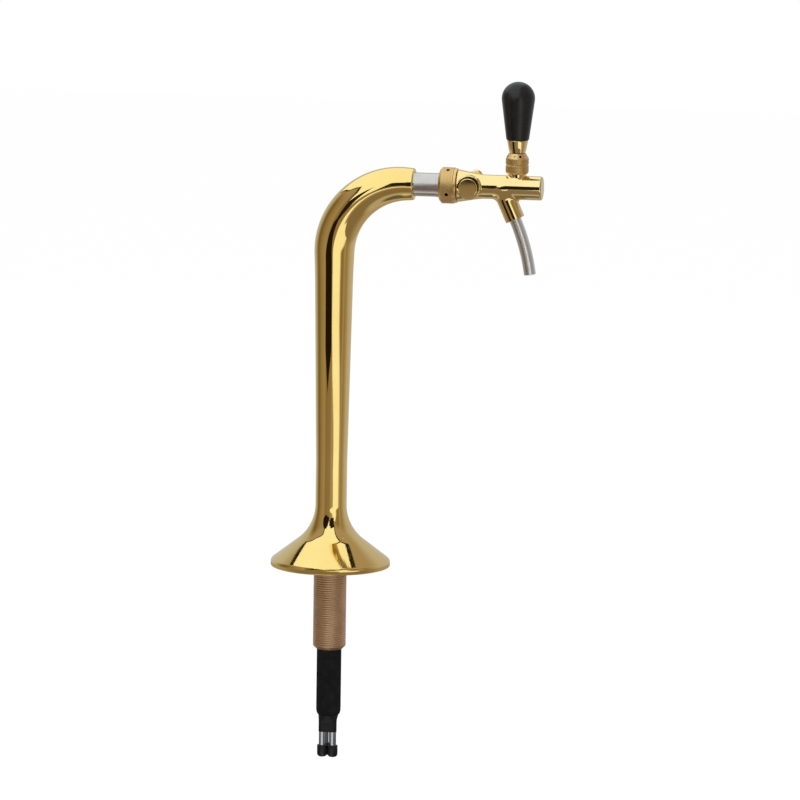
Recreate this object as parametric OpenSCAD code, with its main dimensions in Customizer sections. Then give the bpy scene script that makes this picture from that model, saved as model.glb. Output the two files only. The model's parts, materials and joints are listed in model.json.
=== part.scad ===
// Draft beer tower: a flanged swan neck column with one flow control tap.
// Origin: centre of the flange's underside, where it stands on the counter.
// +Z is up, +X points from the column towards the tap. All sizes in millimetres.

/* [Base flange] */
// Diameter of the round base flange
flange_d = 120; // [114:1:130]
// Height of the upright edge of the flange's rim
rim_h = 4.2; // [3.6:0.1:5.4]
// Radius of the rounding from the rim's edge to its slope
rim_round = 4; // [3:0.5:6]
// Radius of the small rounding at the flange's foot
foot_round = 1.2; // [0.6:0.1:1.6]
// Slope of the flange's straight part, from the horizontal
flange_slope = 37.6; // [35:0.2:40]
// Radius of the hollow flare from the flange into the stem
flare_r = 45; // [40:1:50]
// Metal thickness over the recess under the flange
flange_wall = 3.5; // [3:0.1:4.5]
// Width of the flat ring on which the flange stands
foot_ring_w = 4.8; // [4:0.1:6]

/* [Column] */
// Diameter of the slender stem above the flange
stem_d = 31.3; // [31:0.1:34]
// Height at which the stem begins to widen
taper_z = 107; // [95:1:130]
// Diameter of the column where the bend's swelling begins
bend_start_d = 38; // [37:0.5:40]
// Largest diameter of the column, in the bend
bulge_d = 40.6; // [40.2:0.2:43]
// Diameter of the outlet end
outlet_d = 31.7; // [31:0.1:34]
// Wall of the hollow column
column_wall = 1.7; // [1.5:0.1:2]
// Height of the tap's axis above the counter
tap_z = 388.4; // [370:0.2:420]
// Radius of the bend, at the middle of the pipe
bend_radius = 71; // [68:0.5:76]
// Straight run below the bend that belongs to the swelling
bend_lead = 28.6; // [24:0.2:34]
// Distance along the pipe from the swelling's start to its widest place
bulge_run = 45; // [40:1:52]
// Straight run after the bend
outlet_lead = 9.2; // [9:0.2:14]
// Thickness of the end wall that holds the shank
outlet_wall = 8; // [6:0.5:9]
// Rounding of the outlet's outer edge
outlet_round = 1.5; // [1:0.1:2]

/* [Mounting tube] */
// Outside diameter of the mounting thread, a G1 pipe thread
thread_d = 33.25; // [33:0.05:34.2]
// Length of the mounting tube below the counter
thread_len = 85; // [60:1:110]
// Width of the flat ring that the chamfer leaves at the mounting tube's end
thread_end_face = 0.52; // [0.4:0.02:1.4]
// Diameter of the plain spigot that sits in the flange
spigot_d = 31.2; // [30.4:0.1:31.8]
// Length of the spigot
spigot_len = 20; // [14:1:22]

/* [Insulation and lines] */
// Thickness of the foam sleeve's wall
sleeve_wall = 2.48; // [2.3:0.02:2.8]
// How far the foam sleeve reaches below the counter
sleeve_drop = 152.6; // [125:0.2:160]
// Rounding at the foam sleeve's lower end
sleeve_round = 2.2; // [1.5:0.1:2.2]
// How far the wrap at the foot reaches below the counter
wrap_drop = 170.2; // [165:0.2:178]
// Thickness of the wrap round the lines
wrap_wall = 0.4; // [0.3:0.1:0.8]
// Outside diameter of the product and coolant lines
line_d = 7; // [6.6:0.1:7.2]
// Wall of the lines
line_wall = 0.8; // [0.6:0.1:1]
// Spacing of the three lines, centre to centre
line_pitch = 10.6; // [10.5:0.1:10.8]
// Angle of the bend up to which the coolant loop reaches
loop_angle = 40; // [25:1:42]

/* [End caps] */
// Outside diameter of the end caps
cap_d = 10.3; // [9:0.05:10.3]
// Length of the end caps
cap_len = 12; // [9:0.5:16]
// How far the caps' lower ends reach below the counter
cap_drop = 196; // [192:1:210]
// Thickness of a cap's closed end
cap_end = 1.5; // [1:0.1:2.5]

/* [Shank] */
// Diameter of the plain shank
shank_d = 23.6; // [23.4:0.1:24]
// Diameter over the shank's thread, a G5/8 pipe thread
shank_thread_d = 22.9; // [22.7:0.05:23.1]
// Diameter of the narrow ring before the thread
shank_ring_d = 24.2; // [24.1:0.1:25]
// Width of that ring
shank_ring_w = 2.8; // [2:0.1:3.4]
// Distance from the column's outlet to the coupling nut
shank_show = 26; // [22:0.2:32]
// Bore through the shank
shank_bore_d = 8; // [7.4:0.1:8.2]
// Bore of the cup that takes the product line
shank_cup_d = 9; // [8.8:0.1:9.4]
// Length of the shank's thread inside the nut
shank_engage = 11.3; // [10.8:0.1:11.6]

/* [Coupling nut] */
// Outside diameter of the coupling nut
nut_d = 36; // [34.8:0.2:36.4]
// Length of the coupling nut
nut_len = 17.3; // [17:0.1:17.5]
// Chamfer at the nut's rear end
nut_chamfer = 2.3; // [1.5:0.1:2.6]
// Diameter of the plain lip at the nut's front end
nut_lip_d = 34.4; // [33:0.1:34.6]
// Length of that lip
nut_lip_len = 2.6; // [2:0.1:3]
// Diameter of the four spanner holes
nut_hole_d = 3.6; // [3:0.1:4]
// Depth of the spanner holes
nut_hole_depth = 3; // [2:0.1:3.4]
// Angle of the first spanner hole above the side of the nut
nut_hole_angle = 65; // [0:1:90]

/* [Tap body] */
// Diameter of the tail that carries the retaining ring
tail_d = 22.6; // [22.4:0.1:22.6]
// Length of the tail
tail_len = 4.6; // [4.6:0.1:5.4]
// Largest diameter of the rear cone
cone_d = 32.3; // [31:0.1:33.4]
// Length of the rear cone
cone_len = 25; // [24:0.5:27]
// Diameter of the barrel behind the neck
barrel_d = 24.2; // [23.8:0.1:25.4]
// Diameter of the barrel at its front end
barrel_front_d = 23.8; // [23:0.1:23.8]
// Distance from the rear cone's start to the barrel's front end
body_len = 84.6; // [83:0.2:90]
// Rounding of the barrel's front edge
barrel_round = 2; // [1:0.1:3]
// Bore of the barrel, in which the piston slides
barrel_bore_d = 14; // [13.8:0.1:14.2]
// Distance from the rear cone's start to the valve seat
seat_at = 29.5; // [29.3:0.1:30.5]
// Diameter of the flow chamber behind the seat
chamber_d = 16.8; // [16.7:0.1:17]
// Diameter of the flow chamber at the tail
chamber_rear_d = 18.4; // [18.2:0.1:18.6]
// Diameter of the wider bore between the seat and the piston's guide
relief_d = 17.2; // [16:0.1:17.6]
// Diameter of the neck under the collars
neck_d = 16.8; // [16.6:0.1:17]
// Diameter over the neck's thread
neck_thread_d = 17.2; // [17.1:0.1:17.4]
// Distance from the rear cone's start to the handle's axis
handle_at = 58.7; // [58:0.1:61]

/* [Spout] */
// Distance from the rear cone's start to the foot of the spout boss
spout_at = 43.4; // [42:0.2:44]
// Lean of the spout boss from the vertical
spout_lean = 24.1; // [20:0.1:26]
// Diameter of the spout boss
spout_boss_d = 19.8; // [18:0.1:20.4]
// Length of the spout boss from the barrel's axis
spout_boss_len = 34.8; // [30:0.2:42]
// Outside diameter of the spout tube
spout_d = 12; // [11:0.1:12.6]
// Wall of the spout tube
spout_wall = 0.8; // [0.6:0.1:1.2]
// Radius of the spout tube's bend
spout_bend_r = 204; // [150:1:300]
// Angle through which the spout tube bends
spout_turn = 16; // [8:0.5:22]
// Depth of the spout tube in its boss
spout_depth = 6; // [4:0.5:6.5]
// Bore of the passage from the barrel to the spout
port_d = 9; // [8:0.1:9.6]

/* [Flow control] */
// Distance from the rear cone's start to the cross boss
boss_at = 12.4; // [12.3:0.1:12.6]
// Diameter of the cross boss
boss_d = 23.8; // [23:0.1:24]
// Length of the cross boss, end to end
boss_len = 31; // [30:0.5:33]
// Diameter of the threaded hole across the boss
cross_bore_d = 14; // [13.6:0.1:14.4]
// Diameter of the side plug's disc and of the gland's flange
disc_d = 19; // [18:0.1:20]
// Height of the side plug's disc
plug_h = 5; // [3:0.1:7]
// Diameter of the flow spindle
spindle_d = 7; // [6.8:0.1:7.2]
// Offset of the spindle's pin from its axis
pin_offset = 2.2; // [2:0.1:2.3]
// Diameter of that pin
pin_d = 2.4; // [2.2:0.1:2.4]
// Radius of the flow lever's round hub
lever_hub_r = 8; // [7:0.1:9]
// Radius of the flow lever's round end
lever_end_r = 6.7; // [5:0.1:6.8]
// Distance of that end's centre from the hub's
lever_throw = 7.8; // [7:0.1:18]
// Lean of the flow lever from the vertical
lever_lean = 16; // [-20:1:20]
// Thickness of the flow lever
lever_t = 5; // [4.4:0.1:6]

/* [Valve] */
// Diameter of the piston's rod
rod_d = 7; // [6.4:0.1:7.6]
// Thickness of the piston's seal
valve_seal_t = 2.8; // [2.4:0.1:2.8]
// Diameter of the piston's seal
valve_seal_d = 16.1; // [15.8:0.1:16.2]
// Thickness of the disc that holds the seal
retainer_t = 2.2; // [2:0.1:2.2]
// Diameter of the stud that carries the seal
stud_d = 4; // [3.6:0.1:4.6]
// Length of the piston's guide behind the handle's axis
land_rear = 7.4; // [6.8:0.1:7.8]
// Length of the piston's guide in front of the handle's axis
land_front = 13.6; // [11:0.1:15]

/* [Lever] */
// Height of the lever's ball above the barrel's axis
pivot_h = 26.3; // [26.2:0.1:26.4]
// Diameter of the lever's ball
ball_d = 13.6; // [13.3:0.1:13.8]
// Distance from the ball to the lever's tip
finger_len = 22.8; // [22.6:0.1:23]
// Diameter of the lever's finger
finger_d = 4; // [3.6:0.1:4.2]
// Diameter of the ball at the lever's tip
tip_d = 5.2; // [5:0.1:5.4]
// Diameter of the lever's stem above the ball
lever_stem_d = 6; // [5.4:0.1:6.2]
// Diameter of the handle thread on the lever
handle_thread_d = 8; // [7:0.1:8.4]

/* [Collars and handle] */
// Diameter of the two knurled collars
collar_d = 22.9; // [22.4:0.1:23]
// Height of the lower collar's underside above the barrel's axis
collar_bottom = 13.8; // [13.6:0.1:14]
// Height of the joint between the collars
collar_joint = 23; // [22:0.1:23.5]
// Height at which the upper collar's chamfer begins
collar_shoulder = 29.2; // [28.6:0.1:29.2]
// Height of the upper collar's top
collar_top = 34.4; // [34:0.1:34.4]
// Diameter of the upper collar's top face
collar_top_d = 17; // [16.8:0.1:17]
// Diameter of the ferrule's lower rim
ferrule_rim_d = 16.1; // [15.6:0.1:16.4]
// Diameter of the ferrule's upper end
ferrule_top_d = 20.9; // [19:0.1:22]
// Height of the ferrule's upper end above the barrel's axis
ferrule_top = 47.4; // [46:0.1:52]
// Diameter of the knob's foot
knob_foot_d = 22.8; // [22:0.1:25]
// Diameter of the knob's round head
knob_d = 33.1; // [30:0.1:36]
// Length of the knob
knob_len = 57.8; // [50:0.2:70]
// Rounding of the knob's lower edge
knob_round = 1.2; // [0.5:0.1:2]
// Length of the threaded insert in the knob
insert_len = 19; // [14:0.5:24]
// Diameter of the insert
insert_d = 12; // [11:0.1:14]

/* [Fits] */
// Radial clearance of sliding and turning fits
run_fit = 0.05; // [0.04:0.01:0.07]
// Clearance round soft pieces
soft_gap = 0.3; // [0.25:0.05:0.35]
// Radial clearance of the spout tube in its socket
solder_gap = 0.12; // [0.1:0.01:0.14]

/* [Hidden] */
$fn = 96;

gold = "#c79a3b";
satin_gold = "#b8924c";
brown_brass = "#8a6a48";
steel = "#b9bcc0";
black = "#1c1c1c";
white_plastic = "#e8e6df";

// Flange: where its slope begins and ends
flange_r = flange_d / 2;
stem_r = stem_d / 2;
slope_reach = flange_r - rim_round * (1 - sin(flange_slope));
slope_z = rim_h + rim_round * cos(flange_slope);
flare_reach = stem_r + flare_r * (1 - sin(flange_slope));
flare_z = slope_z + (slope_reach - flare_reach) * tan(flange_slope) + flare_r * cos(flange_slope);
recess_in = thread_d / 2 + 8;
recess_out = flange_r - foot_round - foot_ring_w;

// Column: the path of the bend and how its radius changes
bend_start_r = bend_start_d / 2;
bend_z = tap_z - bend_radius;
swell_z = bend_z - bend_lead;
bend_arc = bend_radius * PI / 2;
bend_len = bend_lead + bend_arc + outlet_lead;
taper_rate = (bend_start_r - stem_r) / (swell_z - taper_z);
outlet_rate = 0.085;
outlet_x = bend_radius + outlet_lead;
bore_stem_r = stem_r - column_wall;
outer_sides = 48;
outer_steps = 26;
inner_sides = 24;
inner_steps = 14;
// The bend starts this far inside the straight column, so that the two join
lap = 1;

// Mounting tube, insulation and lines
thread_r = thread_d / 2;
spigot_r = spigot_d / 2;
line_r = line_d / 2;
line_bore_r = line_r - line_wall;
bundle_r = line_pitch / sqrt(3);
sleeve_bore_r = bundle_r + line_r + soft_gap;
sleeve_r = sleeve_bore_r + sleeve_wall;
tube_bore_r = sleeve_r + soft_gap;
thread_chamfer = thread_r - tube_bore_r - thread_end_face;
sleeve_top = swell_z - 4;
line_bottom = cap_end - cap_drop;
line_sides = 16;
product_place = [0, bundle_r];
flow_place = [-line_pitch / 2, -bundle_r / 2];
return_place = [line_pitch / 2, -bundle_r / 2];
line_places = [product_place, flow_place, return_place];

// Shank and the product line's end, which runs a little aslant into its cup
shank_r = shank_d / 2;
shank_thread_r = shank_thread_d / 2;
shank_x = outlet_x - outlet_wall - 4.3;
cup_depth = 8;
line_run = shank_x + cup_depth - 0.6;
line_yaw = asin(bundle_r / line_run);

// Places along the tap's axis
nut_x = outlet_x + shank_show;
nut_front = nut_x + nut_len;
shank_front = nut_x + shank_engage;
shank_seal_t = 2;
tail_x = shank_front + shank_seal_t;
cone_x = tail_x + tail_len;
ring_t = 1.1;
ring_x = tail_x + 0.9;
tail_r = tail_d / 2;
ring_groove_r = tail_r - 1;
ring_r = tail_r + 1.9;
boss_x = cone_x + boss_at;
seat_x = cone_x + seat_at;
seat_t = 3;
spout_x = cone_x + spout_at;
handle_x = cone_x + handle_at;
body_front = cone_x + body_len;
bore_front = body_front - 3.8;
relief_back = 13.2;
relief_end = handle_x - relief_back;

// Radii inside the tap body
barrel_r = barrel_d / 2;
bore_r = barrel_bore_d / 2;
chamber_r = chamber_d / 2;
chamber_rear_r = chamber_rear_d / 2;
chamber_lead = 1;
chamber_taper = 16;
cross_r = cross_bore_d / 2;
stud_r = stud_d / 2;

// Handle: how far the lever tilts and what its tip reaches
tilt = 18;
finger_r = finger_d / 2;
tip_r = tip_d / 2;
ball_r = ball_d / 2;
lever_stem_r = lever_stem_d / 2;
tilt_rate = tan(tilt);
tip_h = pivot_h - finger_len;
ball_gap = 0.3;
shelf_drop = 6.5;
seat_shelf = pivot_h - shelf_drop;
neck_rise = 0.7;
neck_top = pivot_h + neck_rise;
seal_rise = 4.1;
seal_top = pivot_h + seal_rise;
neck_thread_r = neck_thread_d / 2;
socket_r = ball_r + run_fit;
ferrule_rise = 8.2;
ferrule_bottom = pivot_h + ferrule_rise;
ferrule_hollow_r = 12;
handle_thread_r = handle_thread_d / 2;
handle_thread_start = 11;
handle_thread_end = 34;
handle_thread_from = pivot_h + handle_thread_start;
handle_thread_top = pivot_h + handle_thread_end;
knob_bottom = ferrule_top + 0.2;

// Directions of the collar's spanner holes and of its lock screw
spanner_angles = [for (i = [0 : 3]) 90 * i - 64.5];
lock_angle = -97.5;
lock_r = 1;
lock_depth = 1.5;

// Flow control: places across the tap's axis
boss_end = boss_len / 2;
spindle_r = spindle_d / 2;
spindle_disc_y = chamber_r + 0.5;
spindle_disc_t = 0.9;
gland_y = spindle_disc_y + spindle_disc_t + 0.1;
gland_flange = 2.8;
lever_y = boss_end + gland_flange + 0.3;
lever_face = lever_y + lever_t;
spindle_end = lever_face - 0.5;
pin_tip = chamber_r - 3;
pin_gap = 0.1;
cone_gap = 0.38;
compensator_back = 14.4;
compensator_rear = boss_x - compensator_back;
compensator_front = boss_x + pin_d / 2 + 1.3;

// Ring seals and their grooves
wire_r = 0.6;
groove_w = 2.4 * wire_r;
plug_groove_y = 1 - boss_end;
spindle_groove_y = gland_y + 2;
screw_r = 1.5;

function arc(cx, cy, r, a0, a1, n) =
    [for (i = [0 : n]) let (a = a0 + (a1 - a0) * i / n) [cx + r * cos(a), cy + r * sin(a)]];

// Smooth value from p0 to p1 that leaves with slope m0 and arrives with slope m1
function ease(t, p0, m0, p1, m1) =
    (2 * pow(t, 3) - 3 * pow(t, 2) + 1) * p0 + (pow(t, 3) - 2 * pow(t, 2) + t) * m0
    + (3 * pow(t, 2) - 2 * pow(t, 3)) * p1 + (pow(t, 3) - pow(t, 2)) * m1;

// Radius of the column at distance s along the bend
function swell_r(s) = let (run = bend_len - bulge_run) s < bulge_run
    ? ease(s / bulge_run, bend_start_r, taper_rate * bulge_run, bulge_d / 2, 0)
    : ease((s - bulge_run) / run, bulge_d / 2, 0, outlet_d / 2, -outlet_rate * run);

function turn_at(s) = min(90, max(0, (s - bend_lead) / bend_radius * 180 / PI));

// Middle of the pipe at distance s along the bend, as [x, z]
function path_point(s) = let (a = turn_at(s), past = max(0, s - bend_lead - bend_arc))
    [bend_radius * (1 - cos(a)) + past, bend_z + min(0, s - bend_lead) + bend_radius * sin(a)];

// A ring of points round [x, z] for a pipe that heads a degrees from upright
function ring_at(c, a, r, sides) = [for (k = [0 : sides - 1]) let (t = 360 * k / sides)
    [c[0] + r * cos(t) * cos(a), r * sin(t), c[1] - r * cos(t) * sin(a)]];

function ring_points(s, r, sides) = ring_at(path_point(s), turn_at(s), r, sides);

// Middle of a line bent with radius r about the bend's own centre, at angle a
function line_point(r, a) = [bend_radius - r * cos(a), bend_z + r * sin(a)];

// Radius of the tapered flow chamber at x
function chamber_at(x) = chamber_rear_r
    - (chamber_rear_r - chamber_r) * (x - cone_x - chamber_lead) / chamber_taper;

module loft(rings, sides) {
    last = len(rings) - 1;
    walls = [for (i = [0 : last - 1], k = [0 : sides - 1])
        let (a = i * sides + k, b = i * sides + (k + 1) % sides)
        each [[a, a + sides, b + sides], [a, b + sides, b]]];
    bottom = [for (k = [0 : sides - 1]) k];
    top = [for (k = [sides - 1 : -1 : 0]) last * sides + k];
    polyhedron(points = [for (ring = rings) each ring], faces = concat(walls, [bottom, top]));
}

// A profile of [radius, x] points turned about the tap's axis
module turned_x(points) {
    translate([0, 0, tap_z]) rotate([0, 90, 0]) rotate_extrude() polygon(points);
}

// A profile of [radius, height] points turned about the handle's axis
module turned_up(points) {
    translate([handle_x, 0, tap_z]) rotate_extrude() polygon(points);
}

// A profile of [radius, y] points turned about the cross boss's axis
module turned_y(points) {
    translate([boss_x, 0, tap_z]) rotate([-90, 0, 0]) rotate_extrude() polygon(points);
}

// Places a shape on the handle's axis, at height h above the barrel's axis
module at_height(h) {
    translate([handle_x, 0, tap_z + h]) children();
}

// Places a shape on the spout's axis, at distance d from the barrel's axis
module down_spout(d) {
    translate([spout_x, 0, tap_z]) rotate([0, 180 - spout_lean, 0]) translate([0, 0, d]) children();
}

module ring_2d(r, bore) {
    difference() {
        circle(r, $fn = 48);
        circle(bore, $fn = 48);
    }
}

// A rubber ring round the cross boss's axis, in the groove that begins at y
module cross_ring(y, centre_r) {
    color(black) translate([boss_x, y + groove_w / 2, tap_z]) rotate([90, 0, 0]) rotate_extrude()
        translate([centre_r, 0]) circle(wire_r, $fn = 24);
}

module tower_column() {
    profile = concat([[0, 0]],
        arc(flange_r - foot_round, foot_round, foot_round, -90, 0, 6),
        arc(flange_r - rim_round, rim_h, rim_round, 0, 90 - flange_slope, 8),
        arc(stem_r + flare_r, flare_z, flare_r, 270 - flange_slope, 180, 20),
        [[stem_r, taper_z], [bend_start_r, swell_z], [0, swell_z]]);
    edge_s = bend_len - outlet_round;
    skin = 0.06;
    outer = concat([ring_points(-lap, bend_start_r - 0.5, outer_sides)],
        [for (i = [0 : outer_steps]) let (s = edge_s * i / outer_steps)
            ring_points(s, swell_r(s) + skin, outer_sides)],
        [for (a = [22.5 : 22.5 : 90])
            ring_points(edge_s + outlet_round * sin(a),
                swell_r(edge_s) + skin - outlet_round * (1 - cos(a)), outer_sides)]);
    inner = concat([ring_points(-lap, bend_start_r - column_wall - 1, inner_sides)],
        [for (i = [0 : inner_steps]) let (s = (bend_len - outlet_wall) * i / inner_steps)
            ring_points(s, swell_r(s) - column_wall, inner_sides)]);
    socket_top = spigot_len + run_fit;
    roof_z = slope_z - flange_wall / cos(flange_slope);
    roof_in = roof_z + (slope_reach - flare_reach - 1) * tan(flange_slope);
    roof_out = roof_z + (slope_reach - recess_out) * tan(flange_slope);
    color(gold) difference() {
        union() {
            rotate_extrude() polygon(profile);
            loft(outer, outer_sides);
        }
        rotate_extrude() polygon([[0, -1], [spigot_r + run_fit, -1], [spigot_r + run_fit, socket_top],
            [bore_stem_r, socket_top], [bore_stem_r, taper_z],
            [bend_start_r - column_wall, swell_z - lap / 2], [0, swell_z - lap / 2]]);
        loft(inner, inner_sides);
        rotate_extrude() polygon([[recess_in, -1], [recess_out, -1], [recess_out, roof_out],
            [flare_reach + 1, roof_in], [recess_in, roof_in]]);
        translate([outlet_x - outlet_wall - 1, 0, tap_z]) rotate([0, 90, 0])
            cylinder(r = shank_r + run_fit, h = outlet_wall + 2);
    }
}

module mounting_tube() {
    color(brown_brass) rotate_extrude() polygon([[tube_bore_r, -thread_len],
        [thread_r - thread_chamfer, -thread_len], [thread_r, thread_chamfer - thread_len],
        [thread_r, 0], [spigot_r, 0], [spigot_r, spigot_len], [tube_bore_r, spigot_len]]);
}

module foam_sleeve() {
    color(black) rotate_extrude() polygon(concat([[sleeve_bore_r, -sleeve_drop]],
        arc(sleeve_r - sleeve_round, sleeve_round - sleeve_drop, sleeve_round, -90, 0, 6),
        [[sleeve_r, sleeve_top], [sleeve_bore_r, sleeve_top]]));
}

// Outline of the wrap: a round lobe about each line, joined by straight sides
module lobes(r) {
    for (p = line_places) translate(p) circle(r, $fn = 48);
    polygon([for (i = [0 : 2], side = [-60, 60]) let (a = 90 + 120 * i)
        [bundle_r * cos(a) + r * cos(a + side), bundle_r * sin(a) + r * sin(a + side)]]);
}

module foot_wrap() {
    wrap_len = wrap_drop - sleeve_drop - soft_gap;
    color(black) translate([0, 0, -wrap_drop]) difference() {
        linear_extrude(wrap_len) lobes(line_r + run_fit + wrap_wall);
        for (p = line_places)
            translate([p[0], p[1], -1]) cylinder(r = line_r + run_fit, h = wrap_len + 2);
    }
}

// The product line as a rod of radius r, longer at both ends by past
module product_rod(r, past) {
    rings = concat([ring_at([0, line_bottom - past], 0, r, line_sides)],
        [for (a = [0 : 5 : 90]) ring_at(line_point(bend_radius, a), a, r, line_sides)],
        [ring_at([line_run + past, tap_z], 90, r, line_sides)]);
    translate([0, product_place[1], 0]) rotate([0, 0, -line_yaw]) loft(rings, line_sides);
}

module product_line() {
    color(steel) difference() {
        product_rod(line_r, 0);
        product_rod(line_bore_r, 1);
    }
}

// The coolant loop as a rod: up one side, round a turn in the bend and down the other
module coolant_rod(r, past) {
    turn_r = line_pitch / 2;
    far = bend_radius + turn_r;
    near = bend_radius - turn_r;
    top = line_point(bend_radius, loop_angle);
    foot_z = line_bottom - past;
    rings = concat([ring_at([-turn_r, foot_z], 0, r, line_sides)],
        [for (i = [0 : 8]) let (a = loop_angle * i / 8) ring_at(line_point(far, a), a, r, line_sides)],
        [for (i = [1 : 9]) let (t = 18 * i, a = loop_angle + t)
            ring_at(top - turn_r * [cos(a), -sin(a)], a, r, line_sides)],
        [for (i = [8 : -1 : 0]) let (a = loop_angle * i / 8)
            ring_at(line_point(near, a), a + 180, r, line_sides)],
        [ring_at([turn_r, foot_z], 180, r, line_sides)]);
    translate([0, flow_place[1], 0]) loft(rings, line_sides);
}

module coolant_loop() {
    color(steel) difference() {
        coolant_rod(line_r, 0);
        coolant_rod(line_bore_r, 1);
    }
}

module end_cap(place) {
    edge = 1;
    bore = line_r + run_fit;
    color(black) translate([place[0], place[1], -cap_drop]) rotate_extrude() polygon(concat(
        [[0, 0]], arc(cap_d / 2 - edge, edge, edge, -90, 0, 5),
        [[cap_d / 2, cap_len], [bore, cap_len], [bore, cap_end], [0, cap_end]]));
}

module product_line_cap() {
    end_cap(product_place);
}

module coolant_flow_cap() {
    end_cap(flow_place);
}

module coolant_return_cap() {
    end_cap(return_place);
}

module shank() {
    bore = shank_bore_d / 2;
    cup_r = shank_cup_d / 2;
    cup_end = shank_x + cup_depth;
    ring_end = nut_x - 0.8;
    edge = 0.6;
    color(steel) turned_x([[bore, cup_end], [cup_r, cup_end], [cup_r, shank_x],
        [shank_r - edge, shank_x], [shank_r, shank_x + edge], [shank_r, ring_end - shank_ring_w],
        [shank_ring_d / 2, ring_end - shank_ring_w], [shank_ring_d / 2, ring_end],
        [shank_thread_r, ring_end], [shank_thread_r, shank_front - edge],
        [shank_thread_r - edge, shank_front], [bore, shank_front]]);
}

module shank_seal() {
    inner = shank_bore_d / 2 + 1;
    outer = shank_thread_r - 0.7;
    color(black) turned_x([[inner, shank_front], [outer, shank_front], [outer, tail_x], [inner, tail_x]]);
}

module coupling_nut() {
    nut_r = nut_d / 2;
    lip_r = nut_lip_d / 2;
    bore = shank_thread_r + run_fit;
    lip_bore = tail_r + 0.15;
    cavity_r = ring_r + 0.4;
    cavity_x = shank_front + 0.5;
    cavity_end = ring_x + ring_t + 0.1;
    knurl_end = nut_front - nut_lip_len;
    hole_x = (nut_x + nut_chamfer + knurl_end) / 2;
    edge = 0.6;
    color(satin_gold) difference() {
        turned_x([[bore, nut_x], [nut_r - nut_chamfer, nut_x], [nut_r, nut_x + nut_chamfer],
            [nut_r, knurl_end - edge], [lip_r, knurl_end], [lip_r, nut_front - edge],
            [lip_r - edge, nut_front], [lip_bore, nut_front], [lip_bore, cavity_end],
            [cavity_r, cavity_end], [cavity_r, cavity_x], [bore, cavity_x]]);
        for (a = [0 : 90 : 270])
            translate([hole_x, 0, tap_z]) rotate([90 - nut_hole_angle + a, 0, 0])
                translate([0, 0, nut_r - nut_hole_depth]) cylinder(d = nut_hole_d, h = nut_hole_depth + 1);
    }
}

// A split ring that snaps into the tail's groove and takes the nut's pull
module nut_retaining_ring() {
    gap = 3;
    bore = ring_groove_r + run_fit;
    color(steel) difference() {
        turned_x([[bore, ring_x], [ring_r, ring_x], [ring_r, ring_x + ring_t], [bore, ring_x + ring_t]]);
        translate([ring_x - 1, -gap / 2, tap_z - 2 * ring_r]) cube([ring_t + 2, gap, 2 * ring_r]);
    }
}

module tap_body() {
    cone_r = cone_d / 2;
    boss_r = boss_d / 2;
    front_r = barrel_front_d / 2;
    spout_r = spout_boss_d / 2;
    neck_r = neck_d / 2;
    edge = 0.8;
    groove_x = ring_x - 0.05;
    groove_end = ring_x + ring_t + 0.05;
    // The cone's side has one slight break in slope
    knee_x = cone_x + 0.72 * cone_len;
    knee_r = barrel_r + 0.23 * (cone_r - barrel_r);
    chamber_x = cone_x + chamber_lead;
    // Reach of the lever's finger at the barrel's axis and at the socket's shelf
    wide = finger_r + 0.3 + pivot_h * tilt_rate;
    narrow = finger_r + 0.3 + (pivot_h - seat_shelf) * tilt_rate;
    slot_w = tip_d + 0.6;
    color(gold) difference() {
        union() {
            turned_x(concat([[0, tail_x], [tail_r, tail_x], [tail_r, groove_x],
                [ring_groove_r, groove_x], [ring_groove_r, groove_end], [tail_r, groove_end],
                [tail_r, cone_x], [cone_r - edge, cone_x], [cone_r, cone_x + edge],
                [knee_r, knee_x], [barrel_r, cone_x + cone_len]],
                [for (a = [0 : 15 : 90]) [front_r - barrel_round * (1 - cos(a)),
                    body_front - barrel_round * (1 - sin(a))]],
                [[0, body_front]]));
            turned_y([[0, -boss_end], [boss_r - edge, -boss_end], [boss_r, edge - boss_end],
                [boss_r, boss_end - edge], [boss_r - edge, boss_end], [0, boss_end]]);
            down_spout(0) rotate_extrude() polygon([[0, 0], [spout_r, 0], [spout_r + 1, 5.4],
                [spout_r + 0.4, 7], [spout_r, 9], [spout_r, spout_boss_len - edge],
                [spout_r - edge, spout_boss_len], [0, spout_boss_len]]);
            turned_up([[0, 0], [neck_r + 1.4, 0], [neck_r + 1.4, 6.6], [neck_r + 0.5, 8.2],
                [neck_r, 10], [neck_r, collar_bottom], [neck_thread_r, collar_bottom],
                [neck_thread_r, neck_top], [0, neck_top]]);
        }
        turned_x([[0, tail_x - 1], [chamber_rear_r, tail_x - 1], [chamber_rear_r, chamber_x],
            [chamber_r, chamber_x + chamber_taper], [chamber_r, seat_x], [bore_r, seat_x],
            [bore_r, seat_x + seat_t], [relief_d / 2, seat_x + seat_t], [relief_d / 2, relief_end],
            [bore_r, relief_end], [bore_r, bore_front], [0, bore_front]]);
        translate([boss_x, -boss_end - 1, tap_z]) rotate([-90, 0, 0])
            cylinder(r = cross_r, h = boss_len + 2);
        down_spout(0) cylinder(d = port_d, h = spout_boss_len);
        down_spout(spout_boss_len - spout_depth)
            cylinder(r = spout_d / 2 + solder_gap, h = spout_depth + 1);
        at_height(seat_shelf) cylinder(r = ball_r + ball_gap, h = seat_shelf);
        // The slot in which the lever's finger swings
        intersection() {
            turned_up([[0, 0], [wide, 0], [narrow, seat_shelf + 0.1], [0, seat_shelf + 0.1]]);
            translate([handle_x - wide, -slot_w / 2, tap_z]) cube([2 * wide, slot_w, 2 * seat_shelf]);
        }
    }
}

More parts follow.
